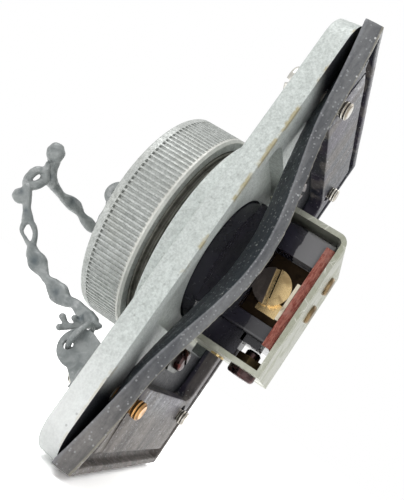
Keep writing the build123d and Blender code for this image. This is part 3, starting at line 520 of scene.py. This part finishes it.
# dark, light and tarnished colour, roughness, then how metallic and the depth where a thread begins
bright_metals = {
    "screw_steel": ((0.45, 0.43, 0.38), (0.80, 0.78, 0.72), (0.20, 0.16, 0.11), 0.30, 0.85, 0.0),
    "brass": ((0.42, 0.29, 0.12), (0.86, 0.66, 0.36), (0.20, 0.13, 0.06), 0.24),
    "copper": ((0.42, 0.20, 0.05), (0.80, 0.46, 0.18), (0.14, 0.07, 0.03), 0.3, 0.8, 0.0),
    # near-black brass for one half of each terminal screw head: painted shade
    "tarnished_brass": ((0.08, 0.068, 0.062), (0.19, 0.165, 0.15), (0.05, 0.04, 0.035), 0.28),
    # paler brass for the saddle lips: painted light on their lit edge
    "pale_brass": ((0.52, 0.46, 0.34), (0.86, 0.80, 0.66), (0.25, 0.17, 0.08), 0.30),
    # near-black brass for the terminal plates and the ground contact: painted shade in their dark
    # well
    "dull_brass": ((0.006, 0.005, 0.004), (0.035, 0.022, 0.012), (0.008, 0.006, 0.005), 0.42),
    "dark_steel": ((0.018, 0.014, 0.014), (0.07, 0.045, 0.045), (0.12, 0.025, 0.02), 0.25),
    # dark olive for the collar's thread, darkened as painted shade in the groove under the cap
    "thread_grime": ((0.10, 0.10, 0.085), (0.30, 0.295, 0.25), (0.06, 0.055, 0.04), 0.5, 0.3,
                     -30.0 * MM),
    "bronze": ((0.10, 0.07, 0.04), (0.27, 0.19, 0.10), (0.07, 0.05, 0.03), 0.40),
}
finishes = {
    "cast_paint": cast_paint(), "cap_metal": cap_metal(), "chain_paint": chain_paint(),
    "rubber": rubber(), "gasket_rubber": gasket_rubber(), "phenolic": phenolic(), "zinc": zinc(),
    "fibre": fibre(),
}
for name, values in bright_metals.items():
    finishes[name] = bright_metal(name, *values)

slot_of = {entry["node"]: entry["material_slot"] for entry in frame["record"]["subparts"]}
# The near-black brass of the terminals and ground contact, and the collar's dark olive thread,
# stand in for painted shade.
special_finish = {
    "threaded_collar": "thread_grime", "line_terminal": "dull_brass",
    "neutral_terminal": "dull_brass", "ground_contact": "dull_brass",
    "ground_screw": "dark_steel", "yoke_screws": "dark_steel", "ground_nut": "bronze",
}
for name, piece in nodes.items():
    piece.data.materials.clear()
    piece.data.materials.append(finishes[special_finish.get(name, slot_of[name])])


# --- pieces shaped here -----------------------------------------------------------------------
def add_piece(name, mesh, body, material, slot_name, *stands_for):
    """Puts a finished mesh in the scene, on its body, in place of the nodes it stands for."""
    for polygon in mesh.polygons:
        polygon.use_smooth = True
    mesh.materials.clear()
    mesh.materials.append(material)
    piece = bpy.data.objects.new(name, mesh)
    bpy.context.collection.objects.link(piece)
    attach(piece, body)
    if stands_for:
        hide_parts(*stands_for)
    return piece


def remeshed(form, voxel, rounds, factor=0.5):
    """One closed skin round everything in the form, softened by a few rounds of smoothing."""
    mesh = bpy.data.meshes.new("skin")
    form.to_mesh(mesh)
    form.free()
    holder = bpy.data.objects.new("skin", mesh)
    bpy.context.collection.objects.link(holder)
    wrap = holder.modifiers.new("wrap", "REMESH")
    wrap.mode = "VOXEL"
    wrap.voxel_size = voxel
    bpy.context.view_layer.update()
    depsgraph = bpy.context.evaluated_depsgraph_get()
    wrapped = bpy.data.meshes.new_from_object(holder.evaluated_get(depsgraph))
    bpy.data.objects.remove(holder)
    bpy.data.meshes.remove(mesh)
    soft = bmesh.new()
    soft.from_mesh(wrapped)
    for _ in range(rounds):
        bmesh.ops.smooth_vert(soft, verts=soft.verts, factor=factor,
                              use_axis_x=True, use_axis_y=True, use_axis_z=True)
    soft.to_mesh(wrapped)
    soft.free()
    return wrapped


def curve_between(before, first, second, after, share):
    """A point of a smooth curve through first and second, with all their numbers."""
    square, cube = share * share, share ** 3
    return [
        0.5 * (2 * b + (c - a) * share
               + (2 * a - 5 * b + 4 * c - d) * square + (3 * b - a - 3 * c + d) * cube)
        for a, b, c, d in zip(before, first, second, after)
    ]


CHAIN_FLAT = Vector((0.95, 0.25, -0.15))    # the way the chain's flat side faces
STRAND_TURNS, STRAND_STEPS = 18, 6          # points round a strand, rings from station to station
FRONT_CAP = [(-0.85, 0.35), (-0.5, 0.8), (0.0, 1.0)]    # rings of a rounded end: way along, size
REAR_CAP = [(0.0, 1.0), (0.5, 0.8), (0.85, 0.35)]
RING = [(0.0, 1.0)]


def add_strand(form, stations):
    """A closed strand of lumps and waists.

    Each station is a place, a half width and a half depth, in mm.
    """
    ends = [stations[0]] + list(stations) + [stations[-1]]
    path = []
    for k in range(1, len(ends) - 2):
        path += [curve_between(*ends[k - 1:k + 3], i / STRAND_STEPS) for i in range(STRAND_STEPS)]
    path.append(list(stations[-1]))
    places = [Vector(point[:3]) for point in path]
    rings = []
    for k, point in enumerate(path):
        way = (places[min(k + 1, len(places) - 1)] - places[max(k - 1, 0)]).normalized()
        side = way.cross(CHAIN_FLAT).normalized()
        depth = side.cross(way).normalized()
        shifts = FRONT_CAP if k == 0 else REAR_CAP if k == len(path) - 1 else RING
        for ahead, shrink in shifts:
            middle = places[k] + way * ahead * min(point[3], point[4])
            ring = []
            for turn in range(STRAND_TURNS):
                angle = 2 * math.pi * turn / STRAND_TURNS
                out = side * math.cos(angle) * point[3] + depth * math.sin(angle) * point[4]
                ring.append(form.verts.new((middle + out * shrink) * MM))
            rings.append(ring)
    for near_ring, far_ring in zip(rings, rings[1:]):
        for turn in range(STRAND_TURNS):
            after = (turn + 1) % STRAND_TURNS
            form.faces.new((near_ring[turn], near_ring[after], far_ring[after], far_ring[turn]))
    form.faces.new(rings[0][::-1])
    form.faces.new(rings[-1])


def add_wire_ring(form, middle, axis, radius, wire, turns=40, sides=12, stretch=None):
    """A closed ring of wire; stretch lengthens it along one direction into a link's loop."""
    axis = axis.normalized()
    first = stretch[0].normalized() if stretch else axis.orthogonal().normalized()
    second = axis.cross(first)
    length = stretch[1] if stretch else 0.0
    rows = []
    for turn in range(turns):
        angle = 2 * math.pi * turn / turns
        out = first * math.cos(angle) + second * math.sin(angle)
        centre = middle + out * radius + first * math.copysign(length, math.cos(angle))
        rows.append([
            form.verts.new((centre + (out * math.cos(b) + axis * math.sin(b)) * wire) * MM)
            for b in (2 * math.pi * s / sides for s in range(sides))
        ])
    for near_row, far_row in zip(rows, rows[1:] + rows[:1]):
        for s in range(sides):
            t = (s + 1) % sides
            form.faces.new((near_row[s], far_row[s], far_row[t], near_row[t]))


def push_out(mesh, heights):
    """Moves each point along its normal by its height; all normals are read before any moves."""
    normals = [vertex.normal.copy() for vertex in mesh.vertices]
    places = [vertex.co + normal * height
              for vertex, normal, height in zip(mesh.vertices, normals, heights)]
    mesh.vertices.foreach_set("co", [number for place in places for number in place])
    mesh.update()


def lumpy(mesh, size, height):
    """Moves each point in or out a little, by smooth noise."""
    push_out(mesh, [noise.noise(vertex.co / size) * height for vertex in mesh.vertices])


def shade_in_hollows(mesh, hollows):
    """Presses soft hollows into a skin and marks them, for painted shade in each hollow.

    Each hollow is a place, a reach and a depth, in mm.
    """
    points = [vertex.co / MM for vertex in mesh.vertices]
    nearness = [
        [math.exp(-((point - Vector(place)).length / reach) ** 2) for place, reach, _ in hollows]
        for point in points
    ]
    push_out(mesh, [-MM * sum(near * deep for near, (_, _, deep) in zip(row, hollows))
                    for row in nearness])
    marks = mesh.attributes.new("darkened", "FLOAT", "POINT")
    marks.data.foreach_set("value", [max(row) for row in nearness])


# The upper stretch: a wire loop in the swivel eye, then links clogged with paint.
skin = bmesh.new()
add_wire_ring(skin, Vector((0.3, -38.1, -1.9)), Vector((0.97, 0.13, 0.15)), 1.75, 0.62,
              stretch=(Vector((0.17, -0.16, -0.97)), 0.9))
add_strand(skin, [(0.8, -38.5, -4.6, 0.9, 1.0), (1.2, -38.2, -7.2, 1.2, 1.1),
                  (1.5, -37.4, -9.9, 1.2, 1.1), (3.1, -37.4, -11.7, 1.5, 1.2),
                  (5.3, -39.2, -11.3, 1.6, 1.2), (7.3, -40.9, -10.7, 1.15, 1.1),
                  (10.0, -42.3, -10.2, 1.9, 1.3), (14.1, -44.2, -10.3, 1.1, 1.1),
                  (18.0, -44.9, -9.8, 1.3, 1.2), (20.6, -45.3, -9.2, 1.7, 1.4),
                  (22.7, -45.3, -7.2, 1.3, 1.3), (24.4, -45.2, -5.4, 1.6, 1.4),
                  (25.3, -45.2, -4.6, 2.1, 1.7), (25.7, -45.4, -3.6, 2.2, 1.8),
                  (25.9, -45.6, -2.9, 1.8, 1.5)])
upper_skin = remeshed(skin, 0.22 * MM, 5)
lumpy(upper_skin, 1.6 * MM, 0.16 * MM)
shade_in_hollows(upper_skin, [((11.6, -42.4, -10.0), 1.0, 0.35), ((22.2, -44.9, -9.0), 0.9, 0.3),
                    ((6.0, -39.6, -9.9), 1.0, 0.3), ((2.8, -38.6, -7.0), 1.0, 0.3)])
add_piece("upper_chain_paint", upper_skin, "upper_chain", finishes["chain_paint"],
          "chain_paint", "upper_chain_links")

# The lower stretch.
lower_strands = (
    # the loop that hangs in the upper stretch
    [(24.6, -45.6, -6.9, 0.8, 0.8), (23.9, -45.7, -8.7, 0.9, 0.9),
     (25.0, -46.7, -9.7, 1.0, 0.9), (25.4, -47.1, -12.2, 1.0, 0.9),
     (25.2, -46.2, -14.0, 1.15, 1.0), (24.1, -44.9, -12.4, 1.1, 1.0),
     (23.2, -44.9, -10.6, 1.15, 1.0), (23.7, -45.5, -8.9, 1.0, 0.9)],
    # the knot below it
    [(25.4, -45.2, -15.1, 1.3, 1.0), (25.3, -45.9, -16.8, 1.9, 1.1),
     (25.3, -46.3, -17.8, 1.6, 1.0)],
    # the first bend down
    [(25.6, -45.7, -14.4, 1.2, 1.1), (24.6, -44.4, -16.8, 1.05, 1.0),
     (23.9, -43.4, -18.5, 1.0, 1.0), (23.3, -41.8, -20.6, 1.5, 1.0)],
    # two wires side by side
    [(23.4, -42.2, -20.9, 0.6, 0.6), (22.9, -41.8, -23.2, 0.5, 0.55),
     (22.4, -40.3, -24.2, 0.5, 0.5), (21.9, -38.5, -25.0, 0.6, 0.6)],
    [(23.1, -40.9, -20.4, 0.7, 0.7), (22.6, -39.2, -21.5, 0.65, 0.7),
     (22.2, -38.3, -23.0, 0.65, 0.7), (21.7, -37.7, -25.0, 0.8, 0.8)],
    # the long row of links
    [(21.8, -38.0, -24.8, 1.05, 1.0), (21.6, -36.5, -26.2, 1.7, 1.3),
     (21.7, -34.4, -27.2, 2.3, 1.5), (21.6, -32.3, -28.1, 1.7, 1.2),
     (21.6, -30.3, -29.1, 1.0, 1.0), (21.4, -28.3, -29.4, 1.7, 1.2),
     (21.0, -25.8, -30.2, 2.5, 1.6), (21.4, -23.2, -30.6, 1.6, 1.3),
     (22.0, -20.9, -30.1, 1.2, 1.2), (22.6, -18.7, -30.4, 1.5, 1.2),
     (23.5, -16.2, -30.9, 1.8, 1.4), (24.5, -14.1, -31.2, 1.9, 1.5),
     (25.1, -12.6, -31.3, 1.3, 1.1), (25.3, -11.4, -30.9, 0.6, 0.6)],
    # the end link's three bent tails
    [(24.0, -15.1, -32.8, 0.7, 0.7), (25.0, -17.7, -34.5, 0.55, 0.55),
     (25.9, -19.7, -33.7, 0.85, 0.8)],
    [(24.1, -15.0, -32.3, 0.65, 0.65), (25.1, -17.4, -32.5, 0.85, 0.85)],
    [(24.0, -14.9, -32.9, 0.65, 0.65), (25.1, -17.5, -35.2, 0.55, 0.55),
     (25.8, -18.8, -36.0, 0.85, 0.8)],
)
skin = bmesh.new()
for strand in lower_strands:
    add_strand(skin, strand)
lower_skin = remeshed(skin, 0.2 * MM, 5)
lumpy(lower_skin, 1.6 * MM, 0.14 * MM)
shade_in_hollows(lower_skin, [((22.8, -34.6, -27.3), 1.1, 0.45), ((22.2, -26.0, -30.3), 1.2, 0.45),
                    ((26.0, -45.9, -16.0), 0.9, 0.3), ((25.2, -16.4, -31.8), 1.0, 0.35),
                    ((24.5, -43.0, -19.0), 0.7, 0.2)])
add_piece("lower_chain_paint", lower_skin, "lower_chain", finishes["chain_paint"],
          "chain_paint", "lower_chain_links", "chain_end_link")

# The ring hangs in the lug's hole and holds the end link.
lug_hole = Vector((30.0, -12.8, -37.6))
ring_far = Vector((26.0, -12.3, -32.4))
chord = (ring_far - lug_hole).normalized()
toward = (CHAIN_FLAT - chord * CHAIN_FLAT.dot(chord)).normalized()
ring_axis = toward * 0.34 + chord.cross(toward) * 0.94
skin = bmesh.new()
add_wire_ring(skin, (lug_hole + ring_far) / 2, ring_axis, 3.4, 0.66, turns=64, sides=14)
ring_mesh = bpy.data.meshes.new("ring")
bmesh.ops.recalc_face_normals(skin, faces=skin.faces)
skin.to_mesh(ring_mesh)
skin.free()
lumpy(ring_mesh, 1.2 * MM, 0.08 * MM)
add_piece("chain_ring_paint", ring_mesh, "lower_chain", finishes["chain_paint"],
          "chain_paint", "split_ring")


# --- the lug ----------------------------------------------------------------------------------
def cut_sheet(outlines, thickness, bevel):
    """A flat sheet with holes and slightly rounded rims, in its own XY plane; sizes in mm."""
    curve = bpy.data.curves.new("sheet", "CURVE")
    curve.dimensions = "2D"
    curve.fill_mode = "BOTH"
    curve.extrude = (thickness / 2 - bevel) * MM
    curve.bevel_depth = bevel * MM
    curve.bevel_resolution = 2
    curve.offset = -bevel * MM
    for outline in outlines:
        spline = curve.splines.new("POLY")
        spline.points.add(len(outline) - 1)
        spline.use_cyclic_u = True
        for point, (x, y) in zip(spline.points, outline):
            point.co = (x * MM, y * MM, 0.0, 1.0)
    holder = bpy.data.objects.new("sheet", curve)
    mesh = bpy.data.meshes.new_from_object(holder)
    bpy.data.objects.remove(holder)
    bpy.data.curves.remove(curve)
    return mesh


def arc(centre, radius, start, end, count=24):
    """Points along an arc, from one angle to another in degrees."""
    angles = [math.radians(start + (end - start) * i / count) for i in range(count + 1)]
    return [(centre[0] + radius * math.cos(angle), centre[1] + radius * math.sin(angle))
            for angle in angles]


def round_hole(centre, radius):
    return arc(centre, radius, 0, 345, 23)


# A base under its screw, and a tab that stands up with a small hole near its rim.
lug_turn = math.radians(-14.0)
screw_place = Vector((25.0, -5.8, -40.5))
lug_out = Vector((math.cos(lug_turn), 0.0, -math.sin(lug_turn)))
lug_up = Vector((0.0, -1.0, 0.0))
tab_side = lug_up.cross(lug_out)
lug_sheet, tab_from_screw = 1.2, 5.6
base_round, base_reach = 5.2, 6.2

base_outline = arc((0.0, 0.0), base_round, 90, 270)
base_outline += [(base_reach, -base_round), (base_reach, base_round)]
base_mesh = cut_sheet([base_outline, round_hole((0.0, 0.0), 2.2)], lug_sheet, 0.15)
base_frame = Matrix((lug_out, tab_side, lug_up)).transposed().to_4x4()
base_place = screw_place + lug_up * lug_sheet / 2
base_mesh.transform(Matrix.Translation(base_place * MM) @ base_frame)

tab_outline = [(5.2, 0.0)] + arc((2.2, 4.9), 4.4, -10, 190) + [(-5.0, 0.0)]
tab_mesh = cut_sheet([tab_outline, round_hole((1.6, 7.0), 1.05)], lug_sheet, 0.2)
tab_frame = Matrix((tab_side, lug_up, lug_out)).transposed().to_4x4()
tab_place = screw_place + lug_out * tab_from_screw
tab_mesh.transform(Matrix.Translation(tab_place * MM) @ tab_frame)

joined = bmesh.new()
joined.from_mesh(base_mesh)
joined.from_mesh(tab_mesh)
bmesh.ops.recalc_face_normals(joined, faces=joined.faces)
joined.to_mesh(base_mesh)
joined.free()
bpy.data.meshes.remove(tab_mesh)
add_piece("painted_lug", base_mesh, "receptacle", finishes["chain_paint"],
          "chain_paint", "chain_lug")


# --- terminal screws, cover screws and the foot -----------------------------------------------
def add_prism(form, outline, low, high, place):
    """A straight-sided solid between two depths; place turns x, y and depth into a point in mm."""
    rings = [[form.verts.new(place(x, y, depth) * MM) for x, y in outline] for depth in (low, high)]
    count = len(outline)
    for k in range(count):
        after = (k + 1) % count
        form.faces.new((rings[0][k], rings[0][after], rings[1][after], rings[1][k]))
    form.faces.new(rings[0][::-1])
    form.faces.new(rings[1])


def box(left, low, right, high):
    return [(left, low), (right, low), (right, high), (left, high)]


SHARP_EDGE = 0.6    # radians between the faces beside an edge that gets rounded


def chamfered(form, width):
    """Rounds every sharp edge of a form."""
    sharp = [edge for edge in form.edges
             if len(edge.link_faces) == 2 and edge.calc_face_angle(0.0) > SHARP_EDGE]
    bmesh.ops.bevel(form, geom=sharp, offset=width * MM, segments=3, affect="EDGES", profile=0.6)


def finished(form, name):
    """A form's mesh, with its faces turned outwards."""
    bmesh.ops.recalc_face_normals(form, faces=form.faces)
    mesh = bpy.data.meshes.new(name)
    form.to_mesh(mesh)
    form.free()
    return mesh


def add_sharp_piece(name, mesh, body, material, slot_name, *stands_for):
    """A piece whose corners stay crisp."""
    piece = add_piece(name, mesh, body, material, slot_name, *stands_for)
    piece.data.set_sharp_from_angle(angle=math.radians(35.0))
    return piece


# Each terminal screw is a wide slotted head on a saddle whose rear edge turns up beside it.
screw_centre = (12.4, -0.6)     # along Y and Z
head_radius, slot_half = 4.75, 0.68
slot_angle = math.radians(101.0)
block_side = 8.4
head_foot, slot_floor, head_top, head_edge = 0.6, 1.55, 2.8, 0.22
shaded_half_foot, past_middle = 1.5, 0.2
saddle_foot, saddle_top, lip_top = 0.1, 0.7, 2.4


def round_outline(radius, first, turn, count):
    """Points along an arc in radians, for a head that is closed by a straight edge."""
    angles = [first + turn * k / count for k in range(count + 1)]
    return [(radius * math.cos(angle), radius * math.sin(angle)) for angle in angles]


def half_head(start):
    """The outline of the head on one side of its slot."""
    cut = math.asin(slot_half / head_radius)
    return round_outline(head_radius, start + cut + slot_angle, math.pi - 2 * cut, 28)


def under_slot():
    """The outline of the head below its slot, from one rim to a little past the middle."""
    reach = math.acos(past_middle / head_radius)
    return round_outline(head_radius - 0.02, 1.5 * math.pi + slot_angle + reach,
                         2 * (math.pi - reach), 44)


for side, title in ((1, "line"), (-1, "neutral")):
    def seat(x, y, depth):
        """A point by a terminal: x along Y, y along Z, depth outwards from the block."""
        return Vector((side * (block_side + depth), screw_centre[0] + x, screw_centre[1] + y))

    solid = bmesh.new()
    add_prism(solid, half_head(math.pi), head_foot, head_top, seat)
    chamfered(solid, head_edge)
    add_prism(solid, under_slot(), head_foot, slot_floor, seat)
    add_sharp_piece(f"{title}_screw_head", finished(solid, "screw_head"), "receptacle",
                    finishes["brass"], "brass", f"{title}_terminal_screw")

    # The head's other half is near-black brass: painted shade.
    solid = bmesh.new()
    add_prism(solid, half_head(0.0), shaded_half_foot, head_top, seat)
    chamfered(solid, head_edge)
    add_sharp_piece(f"{title}_screw_shaded_half", finished(solid, "screw_half"), "receptacle",
                    finishes["tarnished_brass"], "brass")

    solid = bmesh.new()
    add_prism(solid, box(-1.0, -6.3, 4.7, -2.5), saddle_foot, saddle_top, seat)
    chamfered(solid, 0.2)
    add_sharp_piece(f"{title}_saddle", finished(solid, "saddle"), "receptacle",
                    finishes["brass"], "brass")
    # The saddle's lip is a paler brass: painted light.
    solid = bmesh.new()
    add_prism(solid, box(4.75, -6.3, 5.6, 3.9), saddle_foot, lip_top, seat)
    chamfered(solid, 0.3)
    add_sharp_piece(f"{title}_saddle_lip", finished(solid, "saddle_lip"), "receptacle",
                    finishes["pale_brass"], "brass")

# The cover screws' points end a little short of full length, and one screw has lost its plating.
screw_neck, point_kept = 4.0 * MM, 0.57


def shortened_screws(bare):
    """The bare screw, or the others, shortened behind the neck."""
    form = bmesh.new()
    form.from_mesh(nodes["cover_screws"].data)
    others = [vertex for vertex in form.verts if (vertex.co.x > 0 and vertex.co.z < 0) != bare]
    bmesh.ops.delete(form, geom=others, context="VERTS")
    for vertex in form.verts:
        if vertex.co.y > screw_neck:
            vertex.co.y = screw_neck + (vertex.co.y - screw_neck) * point_kept
    return finished(form, "cover_screws")


add_sharp_piece("plated_cover_screws", shortened_screws(False), "receptacle",
                finishes["screw_steel"], slot_of["cover_screws"], "cover_screws")
add_sharp_piece("bare_cover_screw", shortened_screws(True), "receptacle",
                finishes["copper"], slot_of["cover_screws"])


def below_block(x, y, depth):
    return Vector((x, y, -depth))


# The moulded foot below the terminal block, with a thinner part behind it.
foot_top, foot_left, foot_right = 13.35, 3.4, 11.0
solid = bmesh.new()
add_prism(solid, box(foot_left, 1.0, foot_right, 13.8), foot_top, 19.2, below_block)
chamfered(solid, 0.5)
add_prism(solid, box(foot_left, 13.0, foot_right, 18.2), foot_top, 15.3, below_block)
add_sharp_piece("block_foot", finished(solid, "block_foot"), "receptacle",
                finishes["phenolic"], "phenolic")


# --- the gasket -------------------------------------------------------------------------------
# Its loose side rolls outwards as well as standing off the plate. Lengths are in mm.
ROLL_FROM, ROLL_AXIS = 19.0, 26.2       # where the roll begins, and the line it turns about
SWING_FROM = -2.0                       # how near that line the wall's depth swings with it
BOW_FROM = ROLL_AXIS - 0.3
BOW, BOW_HALF = 5.0, 37.5               # the CAD's loose side: how far it stands off, half its run
WALL_KEPT, LENGTH_KEPT = 0.82, 0.982
ROLL_ANGLE, ROLL_HALF, ROLL_FADE = math.radians(41.5), 57.6, 1.66
DEPTH_LOST, RIM_LOST = 0.38, 0.23       # what the rolled wall loses of its depth and its rim
DRAWN_IN, DRAWN_FORWARD = 1.9, 0.3


def rolled_place(x, y, z):
    """Where a point of the gasket goes, and how far the loose side bows there."""
    loose = abs(z) < BOW_HALF and x > BOW_FROM
    bow = BOW * math.cos(math.pi * z / (2 * BOW_HALF)) ** 2 if loose else 0.0
    y, z = bow + (y - bow) * WALL_KEPT, z * LENGTH_KEPT
    if x > ROLL_FROM:
        along = max(0.0, 1.0 - abs(z / ROLL_HALF) ** ROLL_FADE)
        across = min(1.0, (x - ROLL_FROM) / (ROLL_AXIS - ROLL_FROM))
        turned = along * across * across * (3 - 2 * across)
        angle = ROLL_ANGLE * turned
        out, deep = x - ROLL_AXIS, (y - bow) * (1.0 - DEPTH_LOST * turned)
        if out > 0:
            out *= 1.0 - RIM_LOST * turned
        swung = deep * math.sin(angle) if out > SWING_FROM else 0.0
        x = ROLL_AXIS + out * math.cos(angle) - swung - DRAWN_IN * turned
        risen = max(out, 0.0) * math.sin(angle)
        y = bow + deep * math.cos(angle) + risen - DRAWN_FORWARD * turned
    return x, y, z, bow


def gasket_skin():
    """The gasket with its loose side rolled; its mesh keeps each point's place before the roll."""
    form = bmesh.new()
    form.from_mesh(nodes["box_gasket"].data)
    mesh = remeshed(form, 0.42 * MM, 2, 0.4)
    before, after, ripples = [], [], []
    for vertex in mesh.vertices:
        x, y, z = vertex.co / MM
        *place, bow = rolled_place(x, y, z)
        before += [x, y - bow, z]
        after += [number * MM for number in place]
        # the ripples lean inwards, so that the skin stays inside the CAD's outline
        spot = Vector(place)
        ripple = noise.noise(spot / 8.0) * 0.10 + noise.noise(spot / 1.5) * 0.05 - 0.14
        ripples.append(ripple * MM)
    mesh.vertices.foreach_set("co", after)
    mesh.update()
    push_out(mesh, ripples)
    unrolled = mesh.attributes.new("unrolled", "FLOAT_VECTOR", "POINT")
    unrolled.data.foreach_set("vector", before)
    return mesh


add_piece("rolled_gasket", gasket_skin(), "receptacle", finishes["gasket_rubber"],
          "rubber", "box_gasket")


# --- stage ------------------------------------------------------------------------------------
MIDDLE = Vector((0.0, -0.01, -0.005))


def area_light(name, place, size, power):
    """A round lamp aimed at the middle of the part."""
    lamp = bpy.data.lights.new(name, "AREA")
    lamp.shape = "DISK"
    lamp.size = size
    lamp.energy = power
    holder = bpy.data.objects.new(name, lamp)
    bpy.context.collection.objects.link(holder)
    holder.location = place
    holder.rotation_euler = (MIDDLE - Vector(place)).to_track_quat("-Z", "Y").to_euler()


area_light("key_light", (0.25, -0.30, 0.45), 0.35, 1.45)
area_light("fill_light", (0.45, 0.35, -0.02), 0.40, 0.75)
area_light("back_light", (-0.30, 0.25, 0.40), 0.35, 0.8)

# A white world that gives less light than it shows.
world = bpy.data.worlds.new("studio")
bpy.context.scene.world = world
world.use_nodes = True
world.node_tree.nodes.clear()
sky = Sheet(world.node_tree)
path = sky.add("ShaderNodeLightPath")
reflected = sky.math("MAXIMUM", path.outputs["Is Glossy Ray"],
                     path.outputs["Is Transmission Ray"])
seen = sky.math("MAXIMUM", path.outputs["Is Camera Ray"], reflected)
backdrop = sky.add("ShaderNodeBackground")
backdrop.inputs["Color"].default_value = (1.0, 1.0, 1.0, 1.0)
sky.link(sky.span(seen, 0.0, 1.0, 0.6, 1.0, smooth=False), backdrop.inputs["Strength"])
sky.link(backdrop.outputs[0], sky.add("ShaderNodeOutputWorld").inputs["Surface"])

# A floor just under the part, lit to plain white where it is seen.
floor_half, floor_gap = 3.0, 0.5 * MM
floor_mesh = bpy.data.meshes.new("floor")
floor_form = bmesh.new()
bmesh.ops.create_grid(floor_form, x_segments=1, y_segments=1, size=floor_half)
floor_form.to_mesh(floor_mesh)
floor_form.free()
floor = bpy.data.objects.new("floor", floor_mesh)
bpy.context.collection.objects.link(floor)
floor.location = (0.0, 0.0, cad_box[0][2] - floor_gap)
floor_paint = bpy.data.materials.new("floor_paint")
floor_paint.use_nodes = True
floor_paint.node_tree.nodes.clear()
ground_sheet = Sheet(floor_paint.node_tree)
ground_path = ground_sheet.add("ShaderNodeLightPath")
ground_seen = ground_sheet.math("MAXIMUM", ground_path.outputs["Is Camera Ray"],
                                ground_path.outputs["Is Glossy Ray"])
matt = ground_sheet.add("ShaderNodeBsdfDiffuse")
ground_tone = ground_sheet.mix(ground_seen, (0.85, 0.85, 0.85), (2.1, 2.1, 2.1))
ground_sheet.link(ground_tone, matt.inputs["Color"])
ground_sheet.link(matt.outputs[0], ground_sheet.add("ShaderNodeOutputMaterial").inputs["Surface"])
floor_mesh.materials.append(floor_paint)

# --- camera -----------------------------------------------------------------------------------
eye_right = Vector((-0.08584, 0.82420, 0.55976))
eye_up = Vector((0.23994, -0.52819, 0.81452))
eye_back = Vector((0.96699, 0.20423, -0.15241))
eye_place = Vector((0.152108, 0.036732, -0.026432))
view_height, focal_reach, reach_height = 24.0, 609.2167, 500.0
camera_data = bpy.data.cameras.new("camera")
camera_data.sensor_fit = "VERTICAL"
camera_data.sensor_height = view_height
camera_data.lens = view_height * focal_reach / reach_height
camera_data.shift_x = -0.0856
camera_data.shift_y = 0.0730
camera_data.clip_start = 0.005
camera = bpy.data.objects.new("camera", camera_data)
bpy.context.collection.objects.link(camera)
turned = Matrix((eye_right, eye_up, eye_back)).transposed().to_4x4()
camera.matrix_world = Matrix.Translation(eye_place) @ turned
bpy.context.scene.camera = camera
bpy.context.scene.view_settings.view_transform = "Standard"
